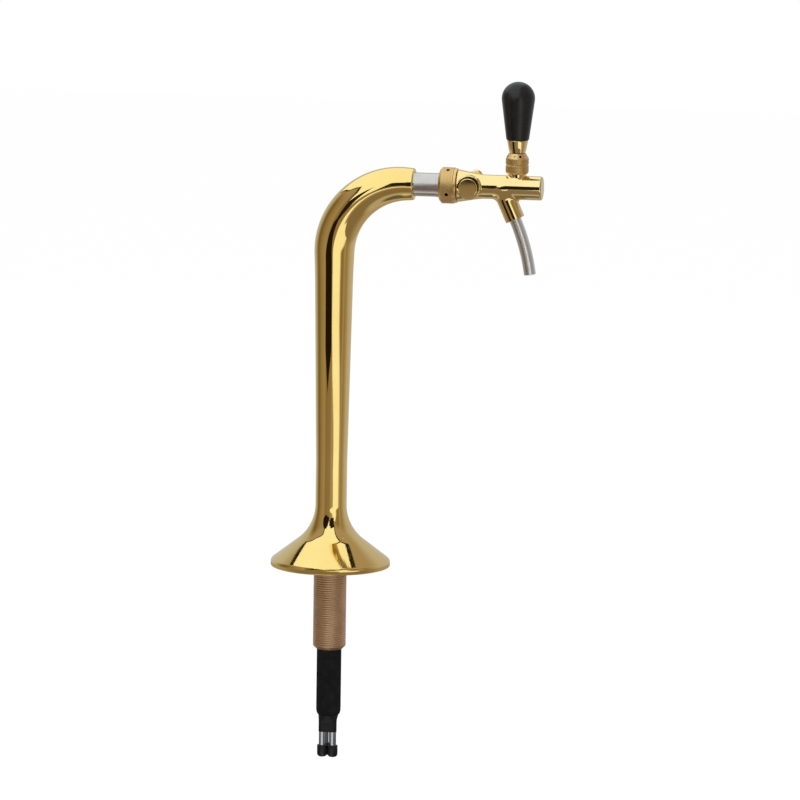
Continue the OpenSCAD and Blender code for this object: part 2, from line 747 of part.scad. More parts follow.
// One long bend, whose first stretch is short enough to enter its straight socket
module spout_tube() {
    socket_a = (spout_depth - 0.3) / spout_bend_r * 180 / PI;
    color(steel) down_spout(spout_boss_len) translate([spout_bend_r, 0, 0]) rotate([90, 0, 0])
        rotate([0, 0, 180 - spout_turn]) rotate_extrude(angle = spout_turn + socket_a)
            translate([spout_bend_r, 0]) ring_2d(spout_d / 2, spout_d / 2 - spout_wall);
}

module side_plug() {
    r = disc_d / 2;
    edge = 1;
    face_y = -boss_end - plug_h;
    thread = cross_r - run_fit;
    groove_r = cross_r - 2 * wire_r - 0.1;
    groove_end = plug_groove_y + groove_w;
    color(gold) turned_y([[0, face_y], [r - edge, face_y], [r, face_y + edge], [r, -boss_end],
        [thread, -boss_end], [thread, plug_groove_y], [groove_r, plug_groove_y],
        [groove_r, groove_end], [thread, groove_end], [thread, -gland_y], [0, -gland_y]]);
}

module side_plug_seal() {
    cross_ring(plug_groove_y, cross_r - wire_r - run_fit);
}

module spindle_gland() {
    bore = spindle_r + run_fit;
    thread = cross_r - run_fit;
    r = disc_d / 2;
    edge = 0.6;
    flange_y = boss_end + gland_flange;
    color(gold) turned_y([[bore, gland_y], [thread, gland_y], [thread, boss_end], [r, boss_end],
        [r, flange_y - edge], [r - edge, flange_y], [bore, flange_y]]);
}

// Space outside the spindle's two flats, which key the flow lever to it
module beside_flats(gap) {
    flat_h = 2.6 + gap;
    translate([boss_x, lever_y - 0.2, tap_z]) rotate([0, lever_lean, 0])
        for (side = [0, 180]) rotate([0, side, 0])
            translate([flat_h, 0, -spindle_d]) cube([spindle_d, 2 * lever_t, 2 * spindle_d]);
}

module flow_spindle() {
    disc_r = cross_r - 0.6;
    disc_end = spindle_disc_y + spindle_disc_t;
    groove_r = spindle_r - 2 * wire_r;
    groove_end = spindle_groove_y + groove_w;
    hole_depth = 8;
    color(steel) difference() {
        union() {
            turned_y([[0, spindle_disc_y], [disc_r, spindle_disc_y], [disc_r, disc_end],
                [spindle_r, disc_end], [spindle_r, spindle_groove_y], [groove_r, spindle_groove_y],
                [groove_r, groove_end], [spindle_r, groove_end], [spindle_r, spindle_end],
                [0, spindle_end]]);
            translate([boss_x, pin_tip, tap_z + pin_offset]) rotate([-90, 0, 0])
                cylinder(d = pin_d, h = spindle_disc_y - pin_tip + 0.1);
        }
        translate([boss_x, spindle_end - hole_depth, tap_z]) rotate([-90, 0, 0])
            cylinder(r = screw_r + run_fit, h = hole_depth + 1);
        beside_flats(0);
    }
}

module spindle_seal() {
    cross_ring(spindle_groove_y, spindle_r - wire_r + 0.02);
}

module flow_lever() {
    lean = asin((lever_hub_r - lever_end_r) / lever_throw);
    // The sides end just inside the round hub and end, so that they cross them
    inset = 0.05;
    low_r = lever_hub_r - inset;
    high_r = lever_end_r - inset;
    outline = [[low_r * cos(lean), low_r * sin(lean)],
        [high_r * cos(lean), lever_throw + high_r * sin(lean)],
        [-high_r * cos(lean), lever_throw + high_r * sin(lean)],
        [-low_r * cos(lean), low_r * sin(lean)]];
    color(gold) difference() {
        translate([boss_x, lever_face, tap_z]) rotate([0, lever_lean, 0]) rotate([90, 0, 0])
            linear_extrude(lever_t) {
                circle(lever_hub_r);
                translate([0, lever_throw]) circle(lever_end_r);
                polygon(outline);
            }
        difference() {
            translate([boss_x, lever_y - 0.1, tap_z]) rotate([-90, 0, 0])
                cylinder(r = spindle_r + run_fit, h = lever_t + 1);
            beside_flats(run_fit);
        }
    }
}

module flow_lever_screw() {
    head_r = spindle_r + 0.9;
    head_h = 1.8;
    slot_w = 0.9;
    color(steel) difference() {
        turned_y([[0, spindle_end - 7], [screw_r, spindle_end - 7], [screw_r, lever_face],
            [head_r, lever_face], [head_r, lever_face + head_h - 0.6],
            [head_r - 0.6, lever_face + head_h], [0, lever_face + head_h]]);
        translate([boss_x - head_r - 1, lever_face + head_h - 0.8, tap_z - slot_w / 2])
            cube([2 * head_r + 2, 1, slot_w]);
    }
}

// The conical plug whose place along the chamber sets the flow
module compensator() {
    guide_t = 1;
    guide_r = chamber_rear_r - run_fit;
    cone_from = compensator_rear + guide_t;
    front_r = chamber_at(compensator_front) - cone_gap;
    groove_half = pin_d / 2 + pin_gap;
    nose = 0.8;
    notch_r = 2.4;
    color(steel) difference() {
        turned_x([[0, compensator_rear], [guide_r, compensator_rear], [guide_r, cone_from],
            [chamber_at(cone_from) - cone_gap, cone_from], [front_r, compensator_front - nose],
            [front_r - nose, compensator_front], [0, compensator_front]]);
        translate([boss_x - groove_half, pin_tip - 0.3, tap_z])
            cube([2 * groove_half, chamber_r, pin_offset + pin_d / 2 + 0.4]);
        for (a = [45 : 90 : 315]) translate([compensator_rear - 1, 0, tap_z]) rotate([a, 0, 0])
            translate([0, 0, guide_r]) rotate([0, 90, 0]) cylinder(r = notch_r, h = guide_t + 1);
    }
}

module piston() {
    land_r = bore_r - run_fit;
    land_x = handle_x - land_rear;
    land_end = handle_x + land_front;
    rod_r = rod_d / 2;
    head_r = bore_r - 1.4;
    stud_x = seat_x - valve_seal_t - retainer_t + 0.2;
    pocket_r = tip_r + pin_gap;
    pocket_z = tip_h - tip_r - 0.4;
    color(steel) difference() {
        turned_x([[0, stud_x], [stud_r, stud_x], [stud_r, seat_x], [head_r, seat_x],
            [head_r, seat_x + 1.6], [rod_r, seat_x + 3.4], [rod_r, land_x - 1.6],
            [land_r, land_x], [land_r, land_end - 0.6], [land_r - 0.6, land_end], [0, land_end]]);
        at_height(pocket_z) cylinder(r = pocket_r, h = bore_r);
        at_height(bore_r - 2.6) cylinder(r1 = pocket_r, r2 = pocket_r + 1.2, h = 3.4);
    }
}

module piston_seal() {
    rear = seat_x - valve_seal_t;
    r = valve_seal_d / 2;
    bore = stud_r + run_fit;
    color(black) turned_x([[bore, rear], [r, rear], [r, seat_x], [bore, seat_x]]);
}

module seal_retainer() {
    front = seat_x - valve_seal_t;
    rear = front - retainer_t;
    r = valve_seal_d / 2 - 1.4;
    edge = 0.8;
    bore = stud_r + run_fit;
    color(steel) turned_x([[bore, rear], [r - edge, rear], [r, rear + edge], [r, front], [bore, front]]);
}

module lever() {
    color(steel) {
        at_height(tip_h) sphere(tip_r);
        at_height(tip_h) cylinder(r = finger_r, h = finger_len);
        at_height(pivot_h) sphere(ball_r);
        at_height(pivot_h) cylinder(r = lever_stem_r, h = handle_thread_from - pivot_h);
        at_height(handle_thread_from)
            cylinder(r = handle_thread_r, h = handle_thread_top - handle_thread_from);
    }
}

// Lower half of the ball's socket, resting on the shelf in the neck
module ball_seat() {
    seat_h = 4.7;
    bore = finger_r + 0.4 + (pivot_h - seat_shelf) * tilt_rate;
    color(white_plastic) difference() {
        at_height(seat_shelf) cylinder(r = ball_r + ball_gap - run_fit, h = seat_h);
        at_height(seat_shelf - 1) cylinder(r = bore, h = seat_h + 2);
        at_height(pivot_h) sphere(socket_r);
    }
}

// Upper half of the ball's socket, pressed down by the upper collar
module ball_seal() {
    color(black) difference() {
        at_height(neck_top) cylinder(r = neck_thread_r, h = seal_top - neck_top);
        at_height(pivot_h) sphere(socket_r);
    }
}

module lower_collar() {
    r = collar_d / 2;
    bore = neck_thread_r + run_fit;
    edge = 0.5;
    color(satin_gold) turned_up([[bore, collar_bottom], [r - 1.5, collar_bottom],
        [r, collar_bottom + 2.1], [r, collar_joint - edge], [r - edge, collar_joint],
        [bore, collar_joint]]);
}

// Places a drill on the upper collar's chamfer, square to it, in direction a
module on_chamfer(a) {
    run = (collar_d - collar_top_d) / 2;
    rise = collar_top - collar_shoulder;
    at_height((collar_top + collar_shoulder) / 2) rotate([0, 0, a])
        translate([(collar_d + collar_top_d) / 4, 0, 0]) rotate([0, 90 - atan2(run, rise), 0])
            children();
}

module upper_collar() {
    r = collar_d / 2;
    bore = neck_thread_r + run_fit;
    edge = 0.5;
    // The lip's hole clears both the ball and the stem at the end of its travel
    lip_low = sqrt(pow(ball_r + ball_gap, 2) - pow(seal_top - pivot_h, 2));
    lip_high = lever_stem_r + 0.6 + (collar_top - pivot_h) * tilt_rate;
    color(satin_gold) difference() {
        turned_up([[bore, collar_joint], [r - edge, collar_joint], [r, collar_joint + edge],
            [r, collar_shoulder], [collar_top_d / 2, collar_top], [lip_high, collar_top],
            [lip_low, seal_top], [bore, seal_top]]);
        for (a = spanner_angles) on_chamfer(a) translate([0, 0, -1.2]) cylinder(d = 2.4, h = 3);
        on_chamfer(lock_angle) translate([0, 0, -lock_depth]) cylinder(r = lock_r + run_fit, h = 4);
    }
}

module collar_lock_screw() {
    color(brown_brass) on_chamfer(lock_angle) translate([0, 0, -lock_depth])
        cylinder(r = lock_r, h = lock_depth - 0.2);
}

// A jam nut under the knob, hollowed below so that it clears the collar
module ferrule() {
    rim_r = ferrule_rim_d / 2;
    top_r = ferrule_top_d / 2;
    bore = handle_thread_r + run_fit;
    waist_r = rim_r + 0.48 * (top_r - rim_r);
    waist_z = ferrule_bottom + 0.43 * (ferrule_top - ferrule_bottom);
    edge = 0.4;
    color(gold) difference() {
        turned_up([[bore, ferrule_bottom], [rim_r, ferrule_bottom], [waist_r, waist_z],
            [top_r, ferrule_top - edge], [top_r - edge, ferrule_top], [bore, ferrule_top]]);
        at_height(pivot_h) sphere(ferrule_hollow_r);
    }
}

module knob_insert() {
    color(brown_brass) at_height(knob_bottom) linear_extrude(insert_len)
        ring_2d(insert_d / 2, handle_thread_r + run_fit);
}

module knob() {
    head_r = knob_d / 2;
    foot_r = knob_foot_d / 2;
    head_z = knob_bottom + knob_len - head_r;
    foot_z = knob_bottom + knob_round;
    // The straight side runs from the foot to touch the round head
    reach = norm([foot_r, head_z - foot_z]);
    side_a = asin(head_r / reach) - atan2(foot_r, head_z - foot_z);
    bore = insert_d / 2 + run_fit;
    bore_top = knob_bottom + insert_len + 0.3;
    color(black) turned_up(concat([[bore, knob_bottom]],
        arc(foot_r - knob_round, foot_z, knob_round, -90, -side_a, 5),
        arc(0, head_z, head_r, -side_a, 90, 20),
        [[0, bore_top], [bore, bore_top]]));
}

tower_column();
mounting_tube();
foam_sleeve();
foot_wrap();
product_line();
coolant_loop();
product_line_cap();
coolant_flow_cap();
coolant_return_cap();
shank();
shank_seal();
coupling_nut();
nut_retaining_ring();
tap_body();
spout_tube();
side_plug();
side_plug_seal();
spindle_gland();
flow_spindle();
spindle_seal();
flow_lever();
flow_lever_screw();
compensator();
piston();
piston_seal();
seal_retainer();
lever();
ball_seat();
ball_seal();
lower_collar();
upper_collar();
collar_lock_screw();
ferrule();
knob_insert();
knob();
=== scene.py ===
import json
import math

import bmesh
import bpy
import numpy as np
from mathutils import Matrix, Vector


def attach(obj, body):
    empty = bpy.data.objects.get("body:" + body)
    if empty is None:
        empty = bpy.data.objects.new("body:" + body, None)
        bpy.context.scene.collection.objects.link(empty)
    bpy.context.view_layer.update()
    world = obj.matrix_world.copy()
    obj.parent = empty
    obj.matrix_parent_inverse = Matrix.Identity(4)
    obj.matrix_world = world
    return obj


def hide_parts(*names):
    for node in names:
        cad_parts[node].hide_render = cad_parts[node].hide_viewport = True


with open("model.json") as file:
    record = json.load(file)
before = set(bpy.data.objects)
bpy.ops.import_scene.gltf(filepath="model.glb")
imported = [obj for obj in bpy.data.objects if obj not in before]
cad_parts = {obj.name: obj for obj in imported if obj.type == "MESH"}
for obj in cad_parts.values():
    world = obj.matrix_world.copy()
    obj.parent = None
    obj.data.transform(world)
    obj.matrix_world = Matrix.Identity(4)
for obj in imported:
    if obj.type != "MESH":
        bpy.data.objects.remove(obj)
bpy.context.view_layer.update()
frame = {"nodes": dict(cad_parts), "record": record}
print("frame loaded:", len(frame["nodes"]), "nodes")

# The pieces' lengths are in millimetres, made metres when a mesh is placed; camera and studio are in metres
mm = 0.001

# Places along the tap's axis, and that axis' height above the counter
tap = {"height": 388.4, "nut": 106.2, "nutFront": 123.5, "shankFront": 117.5, "tail": 119.5, "cone": 124.1,
       "boss": 136.5, "seat": 153.6, "spout": 167.5, "handle": 182.8, "front": 208.7, "spoutLean": 24.1}


def shift(x, z):
    return Matrix.Translation((x, 0, z))


def tilt(degrees, axis):
    return Matrix.Rotation(math.radians(degrees), 4, axis)


upright = Matrix.Identity(4)
atTap = shift(0, tap["height"])
atBoss = shift(tap["boss"], tap["height"])
onTapAxis = atTap @ tilt(90, "Y")
onBossAxis = atBoss @ tilt(-90, "X")
onHandleAxis = shift(tap["handle"], tap["height"])
onSpoutAxis = shift(tap["spout"], tap["height"]) @ tilt(180 - tap["spoutLean"], "Y")


class Wire:
    # An output socket that can stand in sums and products
    def __init__(self, graph, socket):
        self.graph = graph
        self.socket = socket

    def out(self, name):
        return Wire(self.graph, self.socket.node.outputs[name])

    def maths(self, operation, first, second=0.0):
        return self.graph.node("ShaderNodeMath", {"operation": operation}, {0: first, 1: second})

    def __add__(self, other):
        return self.maths("ADD", self, other)

    def __radd__(self, other):
        return self.maths("ADD", other, self)

    def __sub__(self, other):
        return self.maths("SUBTRACT", self, other)

    def __rsub__(self, other):
        return self.maths("SUBTRACT", other, self)

    def __mul__(self, other):
        return self.maths("MULTIPLY", self, other)

    def __rmul__(self, other):
        return self.maths("MULTIPLY", other, self)

    def __truediv__(self, other):
        return self.maths("DIVIDE", self, other)

    def __pow__(self, other):
        return self.maths("POWER", self, other)

    def least(self, other):
        return self.maths("MINIMUM", self, other)

    def most(self, other):
        return self.maths("MAXIMUM", self, other)

    def above(self, other):
        return self.maths("GREATER_THAN", self, other)

    def clamped(self):
        return self.least(1.0).most(0.0)


class Graph:
    # Makes the nodes of one tree; every kind of node comes from the same method
    def __init__(self, tree):
        self.tree = tree

    def node(self, kind, settings=None, sockets=None):
        made = self.tree.nodes.new(kind)
        for name, value in (settings or {}).items():
            if name == "stops":
                self.setStops(made.color_ramp.elements, value)
            else:
                setattr(made, name, value)
        for name, value in (sockets or {}).items():
            self.feed(made.inputs[name], value)
        return Wire(self, made.outputs[0]) if len(made.outputs) else made

    def setStops(self, elements, stops):
        while len(elements) < len(stops):
            elements.new(1)
        for element, (place, colour) in zip(elements, stops):
            element.position, element.color = place, colour

    def feed(self, socket, value):
        if isinstance(value, Wire):
            self.tree.links.new(value.socket, socket)
        else:
            socket.default_value = value

    def axes(self, place):
        x = self.node("ShaderNodeSeparateXYZ", None, {0: place})
        return x, x.out("Y"), x.out("Z")

    def joined(self, x, y, z):
        return self.node("ShaderNodeCombineXYZ", None, {"X": x, "Y": y, "Z": z})

    def attribute(self, name):
        return self.node("ShaderNodeAttribute", {"attribute_name": name}).out("Fac")

    def blend(self, factor, first, second):
        mixed = self.node("ShaderNodeMix", {"data_type": "RGBA"}, {0: factor, 6: first, 7: second})
        return Wire(self, mixed.socket.node.outputs[2])

    def spread(self, value, low, high, atLow=0.0, atHigh=1.0, way="LINEAR"):
        sockets = {"Value": value, "From Min": low, "From Max": high, "To Min": atLow, "To Max": atHigh}
        return self.node("ShaderNodeMapRange", {"clamp": True, "interpolation_type": way}, sockets)

    def eased(self, value, low, high):
        return self.spread(value, low, high, way="SMOOTHSTEP")


# Materials

def rgb(red, green, blue):
    return (red, green, blue, 1.0)


class Finish(Graph):
    # A material with one Principled shader, on object coordinates, which are in metres
    def __init__(self, name, colour, metallic, roughness, **constants):
        self.material = bpy.data.materials.new(name)
        self.material.use_nodes = True
        super().__init__(self.material.node_tree)
        self.shader = self.tree.nodes["Principled BSDF"]
        self.set("Base Color", colour)
        self.set("Metallic", metallic)
        self.set("Roughness", roughness)
        for socket, value in constants.items():
            self.set(socket.replace("_", " "), value)
        self.place = self.node("ShaderNodeTexCoord").out("Object")

    def set(self, socket, value):
        self.feed(self.shader.inputs[socket], value)

    def noise(self, scale, detail=2.0, roughness=0.5, stretch=None):
        # A stretch below 1 draws the pattern out along that axis
        place = self.place
        if stretch:
            sockets = {"Vector": place, "Scale": stretch}
            place = self.node("ShaderNodeMapping", {"vector_type": "POINT"}, sockets)
        return self.node("ShaderNodeTexNoise", {"noise_dimensions": "3D"},
                         {"Vector": place, "Scale": scale, "Detail": detail, "Roughness": roughness})

    def cells(self, scale):
        return self.node("ShaderNodeTexVoronoi", {"feature": "F1"}, {"Vector": self.place, "Scale": scale})

    def bump(self, height, distance):
        sockets = {"Height": height, "Distance": distance, "Strength": 1.0}
        self.set("Normal", self.node("ShaderNodeBump", None, sockets))


def makeGoldPlate(name, gold, deepGold):
    # Polished plate: a mirror with faint hand-polishing waves, wipe marks and fine dust
    look = {"polish": 0.04, "haze": 0.075, "dust": 0.10, "wave": 7e-6,
            "tints": (14.0, 3.0), "wipes": (220.0, 5.0, 0.6, (1.0, 1.0, 0.22)), "specks": (2600.0, 1.0),
            "waves": (38.0, 1.5)}
    made = Finish(name, gold, 1.0, look["polish"])
    tint = made.spread(made.noise(*look["tints"]), 0.35, 0.65)
    haze = made.spread(made.noise(*look["wipes"]), 0.35, 0.75, look["polish"], look["haze"])
    dust = made.spread(made.noise(*look["specks"]), 0.70, 0.78)
    made.set("Base Color", made.blend(tint, gold, deepGold))
    made.set("Roughness", haze + dust * look["dust"])
    made.bump(made.noise(*look["waves"]), look["wave"])
    return made.material


def makeSatinGold():
    # Knurled parts: satin crests, rougher where the tool has cut; the knurl's valleys get painted shade and
    # the holes are painted near black as painted shade
    look = {"crest": rgb(0.78, 0.54, 0.225), "bright": rgb(0.85, 0.61, 0.28), "valleyShade": rgb(0.46, 0.29, 0.10),
            "hole": rgb(0.04, 0.022, 0.008), "rough": 0.46, "crestGloss": 0.12, "patchRough": 0.05,
            "patches": (160.0, 3.0), "grains": (1900.0, 3.0), "grain": 4e-6}
    made = Finish("satinGold", look["crest"], 1.0, look["rough"])
    crest = made.spread(made.attribute("relief"), 0.05, 0.75)
    patch = made.spread(made.noise(*look["patches"]), 0.3, 0.7)
    # Painted shade: the knurl's valleys take a darker colour than its crests
    knurled = made.blend(crest, look["valleyShade"], made.blend(patch, look["crest"], look["bright"]))
    # Painted shade: faces marked hollow, the insides of the drilled holes, are painted near black
    made.set("Base Color", made.blend(made.attribute("hollow").above(0.5), knurled, look["hole"]))
    made.set("Roughness", look["rough"] - crest * look["crestGloss"] + patch * look["patchRough"])
    made.bump(made.noise(*look["grains"]), look["grain"])
    return made.material


def makeBrownBrass():
    # Raw drawn brass gone brown, with stains and turned lines
    look = {"brass": rgb(0.64, 0.435, 0.262), "stain": rgb(0.55, 0.365, 0.21), "fresh": rgb(0.74, 0.53, 0.34),
            "rough": 0.38, "stainRough": 0.08, "lineRough": 0.04, "freshShare": 0.35, "line": 3e-6,
            "stains": (55.0, 4.0, 0.6), "lines": (900.0, 2.0, 0.5, (0.12, 0.12, 1.0)), "rubs": (420.0, 3.0)}
    made = Finish("brownBrass", look["brass"], 1.0, look["rough"])
    stain = made.spread(made.noise(*look["stains"]), 0.42, 0.68)
    lines = made.noise(*look["lines"])
    rubbed = made.spread(made.noise(*look["rubs"]), 0.58, 0.72)
    tone = made.blend(stain, look["brass"], look["stain"])
    made.set("Base Color", made.blend(rubbed * look["freshShare"], tone, look["fresh"]))
    lineRough = made.spread(lines, 0.3, 0.7) * look["lineRough"]
    made.set("Roughness", look["rough"] + stain * look["stainRough"] + lineRough)
    made.bump(lines, look["line"])
    return made.material


def makeStainless(name, stretch, rough, steel, shade):
    # Bright steel with fine lines, drawn out along the piece by the stretch
    look = {"lines": (2600.0, 3.0, 0.6), "clouds": (70.0, 2.0), "smooth": 0.85, "coarse": 1.2,
            "line": 0.15e-6}
    made = Finish(name, steel, 1.0, rough)
    lines = made.noise(*look["lines"], stretch)
    made.set("Base Color", made.blend(made.spread(made.noise(*look["clouds"]), 0.35, 0.65), steel, shade))
    made.set("Roughness", made.spread(lines, 0.3, 0.7, rough * look["smooth"], rough * look["coarse"]))
    made.bump(lines, look["line"])
    return made.material


def makeBlackFoam():
    # Closed-cell foam: matte, with small pores and soft dents
    look = {"foam": rgb(0.0062, 0.0062, 0.0066), "bloom": rgb(0.011, 0.0108, 0.0106), "rough": 0.82,
            "poreSize": 1250.0, "poreRough": (0.72, 0.92), "poreDepth": 0.5, "dents": (120.0, 3.0),
            "relief": 0.12 * mm}
    made = Finish("blackFoam", look["foam"], 0.0, look["rough"], Specular_IOR_Level=0.12)
    pores = made.cells(look["poreSize"])
    dents = made.noise(*look["dents"])
    made.set("Base Color", made.blend(made.spread(dents, 0.4, 0.7), look["foam"], look["bloom"]))
    made.set("Roughness", made.spread(pores, 0.1, 0.6, *look["poreRough"]))
    made.bump(pores * look["poreDepth"] + dents, look["relief"])
    return made.material


def makeBlackRubber():
    # Shrunk wrap and seals: dull, with fine wrinkles round the lines
    look = {"rubber": rgb(0.0070, 0.0070, 0.0074), "scuff": rgb(0.018, 0.0175, 0.017), "rough": 0.44,
            "scuffRough": 0.18, "wrinkles": (330.0, 4.0, 0.6, (0.5, 0.5, 1.6)), "scuffs": (210.0, 5.0, 0.65),
            "relief": 0.10 * mm}
    made = Finish("blackRubber", look["rubber"], 0.0, look["rough"], Specular_IOR_Level=0.22)
    scuffs = made.spread(made.noise(*look["scuffs"]), 0.62, 0.78)
    made.set("Base Color", made.blend(scuffs, look["rubber"], look["scuff"]))
    made.set("Roughness", look["rough"] + scuffs * look["scuffRough"])
    made.bump(made.noise(*look["wrinkles"]), look["relief"])
    return made.material


def makePlastic(name, colour, worn, rough, peel, gloss=0.5):
    # Moulded plastic with a little orange peel and faint handling marks
    look = {"marks": (520.0, 4.0, 0.65, (1.0, 1.0, 0.35)), "clouds": (90.0, 3.0), "peels": (900.0, 1.5),
            "smooth": 0.85, "coarse": 1.15, "markRough": 0.05}
    made = Finish(name, colour, 0.0, rough, Specular_IOR_Level=gloss)
    marks = made.spread(made.noise(*look["marks"]), 0.52, 0.74)
    cloud = made.spread(made.noise(*look["clouds"]), 0.3, 0.7, rough * look["smooth"], rough * look["coarse"])
    made.set("Base Color", made.blend(marks, colour, worn))
    made.set("Roughness", cloud + marks * look["markRough"])
    made.bump(made.noise(*look["peels"]), peel)
    return made.material


columnGold = makeGoldPlate("columnGold", rgb(0.90, 0.70, 0.27), rgb(0.87, 0.655, 0.235))
# Painted light: the tap's gold is painted paler than the column's, standing in for the stronger light on the
# tap
goldPlate = makeGoldPlate("tapGold", rgb(0.90, 0.735, 0.36), rgb(0.88, 0.70, 0.315))
satinGold = makeSatinGold()
brownBrass = makeBrownBrass()
turnedSteel = makeStainless("turnedSteel", (1.0, 0.15, 0.15), 0.20,
                            rgb(0.58, 0.565, 0.55), rgb(0.52, 0.505, 0.49))
drawnSteel = makeStainless("drawnSteel", (1.0, 1.0, 0.12), 0.16, rgb(0.56, 0.58, 0.60), rgb(0.49, 0.51, 0.53))
# Painted light: the spout's steel is painted brighter than the other steel, standing in for the brighter
# light it reflects
spoutSteel = makeStainless("spoutSteel", (1.0, 1.0, 0.3), 0.32, rgb(0.84, 0.87, 0.90), rgb(0.78, 0.81, 0.84))
blackFoam = makeBlackFoam()
blackRubber = makeBlackRubber()
capPlastic = makePlastic("capPlastic", rgb(0.007, 0.007, 0.0074), rgb(0.013, 0.013, 0.013), 0.36, 5e-6, 0.3)
knobPlastic = makePlastic("knobPlastic", rgb(0.006, 0.006, 0.0063), rgb(0.010, 0.010, 0.010), 0.30, 4e-6, 0.4)
whitePlastic = makePlastic("whitePlastic", rgb(0.80, 0.79, 0.75), rgb(0.72, 0.71, 0.67), 0.40, 4e-6)

# Every CAD node gets its slot's finish; those that stay shown are mostly inside the tap
slotFinish = {"gold_plate": goldPlate, "satin_gold": satinGold, "brown_brass": brownBrass,
              "stainless": turnedSteel, "black_foam": blackFoam, "black_rubber": blackRubber,
              "black_plastic": capPlastic, "white_plastic": whitePlastic, "knob_plastic": knobPlastic}
slotOf = {row["node"]: row["material_slot"] for row in frame["record"]["subparts"]}
bodyOf = {node: name for name, nodes in frame["record"]["behaviour"]["bodies"].items() for node in nodes}
for nodeName, nodeObject in frame["nodes"].items():
    nodeObject.data.materials.clear()
    nodeObject.data.materials.append(slotFinish[slotOf[nodeName]])
print("finishes made")


# Outlines and meshes

def arcPoints(centreA, centreB, radius, start, end, steps):
    angles = [math.radians(start + (end - start) * i / steps) for i in range(steps + 1)]
    return [(centreA + radius * math.cos(a), centreB + radius * math.sin(a)) for a in angles]


def linePoints(first, last, steps):
    first, last = np.array(first), np.array(last)
    return [tuple(first + (last - first) * i / steps) for i in range(steps + 1)]


def degreeSteps(start, end, count):
    return np.radians(np.linspace(start, end, count))


def newMesh(name, points, faces, edges=()):
    mesh = bpy.data.meshes.new(name)
    mesh.from_pydata(points, edges, faces)
    return mesh


def gridFaces(rows, columns, closeRows=False, closeColumns=False):
    # The faces between the points of a grid that is numbered row by row
    return [(i * columns + k, i * columns + (k + 1) % columns,
             (i + 1) % rows * columns + (k + 1) % columns, (i + 1) % rows * columns + k)
            for i in range(rows if closeRows else rows - 1)
            for k in range(columns if closeColumns else columns - 1)]


def turnedMesh(name, profile, sides):
    # Turns (radius, height) points about Z; a profile off the axis at both ends closes on itself
    onAxis = 1e-6
    points, rings, faces = [], [], []
    turns = [2 * math.pi * k / sides for k in range(sides)]
    for radius, height in profile:
        first = len(points)
        if radius < onAxis:
            points.append((0, 0, height))
            rings.append([first] * sides)
        else:
            points.extend((radius * math.cos(t), radius * math.sin(t), height) for t in turns)
            rings.append(list(range(first, first + sides)))
    if profile[0][0] > onAxis and profile[-1][0] > onAxis:
        rings.append(rings[0])
    for low, high in zip(rings, rings[1:]):
        for k in range(sides):
            n = (k + 1) % sides
            corners = [low[k], low[n], high[n], high[k]]
            corners = [c for i, c in enumerate(corners) if c != corners[i - 1]]
            if len(corners) > 2:
                faces.append(corners)
    return newMesh(name, points, faces)


def newObject(name, data):
    made = bpy.data.objects.new(name, data)
    bpy.context.scene.collection.objects.link(made)
    return made


def evaluatedMesh(holder):
    # The plain mesh that an object's modifiers give
    evaluated = holder.evaluated_get(bpy.context.evaluated_depsgraph_get())
    return bpy.data.meshes.new_from_object(evaluated)


# Geometry node trees

def newTree(name, inputs):
    tree = bpy.data.node_groups.new(name, "GeometryNodeTree")
    tree.interface.new_socket("Geometry", in_out="INPUT", socket_type="NodeSocketGeometry")
    for label, value in inputs.items():
        kind = "NodeSocketInt" if isinstance(value, int) else "NodeSocketFloat"
        tree.interface.new_socket(label, in_out="INPUT", socket_type=kind).default_value = value
    tree.interface.new_socket("Material", in_out="INPUT", socket_type="NodeSocketMaterial")
    tree.interface.new_socket("Geometry", in_out="OUTPUT", socket_type="NodeSocketGeometry")
    graph = Graph(tree)
    return graph, graph.node("NodeGroupInput")


def closeTree(graph, source, geometry):
    whole = graph.node("GeometryNodeRealizeInstances", None, {"Geometry": geometry})
    sockets = {"Geometry": whole, "Material": source.out("Material")}
    finished = graph.node("GeometryNodeSetMaterial", None, sockets)
    graph.node("NodeGroupOutput", None, {"Geometry": finished})
    return graph.tree


def grow(mesh, tree, material, sizes):
    # Runs a tree on a mesh and returns the plain mesh that comes out
    holder = newObject("holder", mesh)
    modifier = holder.modifiers.new("shape", "NODES")
    modifier.node_group = tree
    wanted = dict(sizes, Material=material)
    for item in tree.interface.items_tree:
        if item.in_out == "INPUT" and item.name in wanted:
            modifier[item.identifier] = wanted[item.name]
    result = evaluatedMesh(holder)
    holder.modifiers.remove(modifier)
    bpy.data.objects.remove(holder)
    result.name = mesh.name
    bpy.data.meshes.remove(mesh)
    return result


def moved(graph, source, x, y, z):
    sockets = {"Geometry": source, "Position": graph.joined(x, y, z)}
    return graph.node("GeometryNodeSetPosition", None, sockets)


def marked(graph, geometry, domain, name, value):
    return graph.node("GeometryNodeStoreNamedAttribute", {"data_type": "FLOAT", "domain": domain},
                      {"Geometry": geometry, "Name": name, "Value": value})


def roundPlace(graph):
    # A point's place, its distance from Z and its angle about Z in turns
    x, y, z = graph.axes(graph.node("GeometryNodeInputPosition"))
    return x, y, z, (x * x + y * y) ** 0.5, x.maths("ARCTAN2", y, x) / (2 * math.pi)


def reached(graph, source, x, y, z, reach, newReach):
    # Moves points straight in or out to a new distance from Z
    share = newReach / reach.most(0.001)
    return moved(graph, source, x * share, y * share, z)


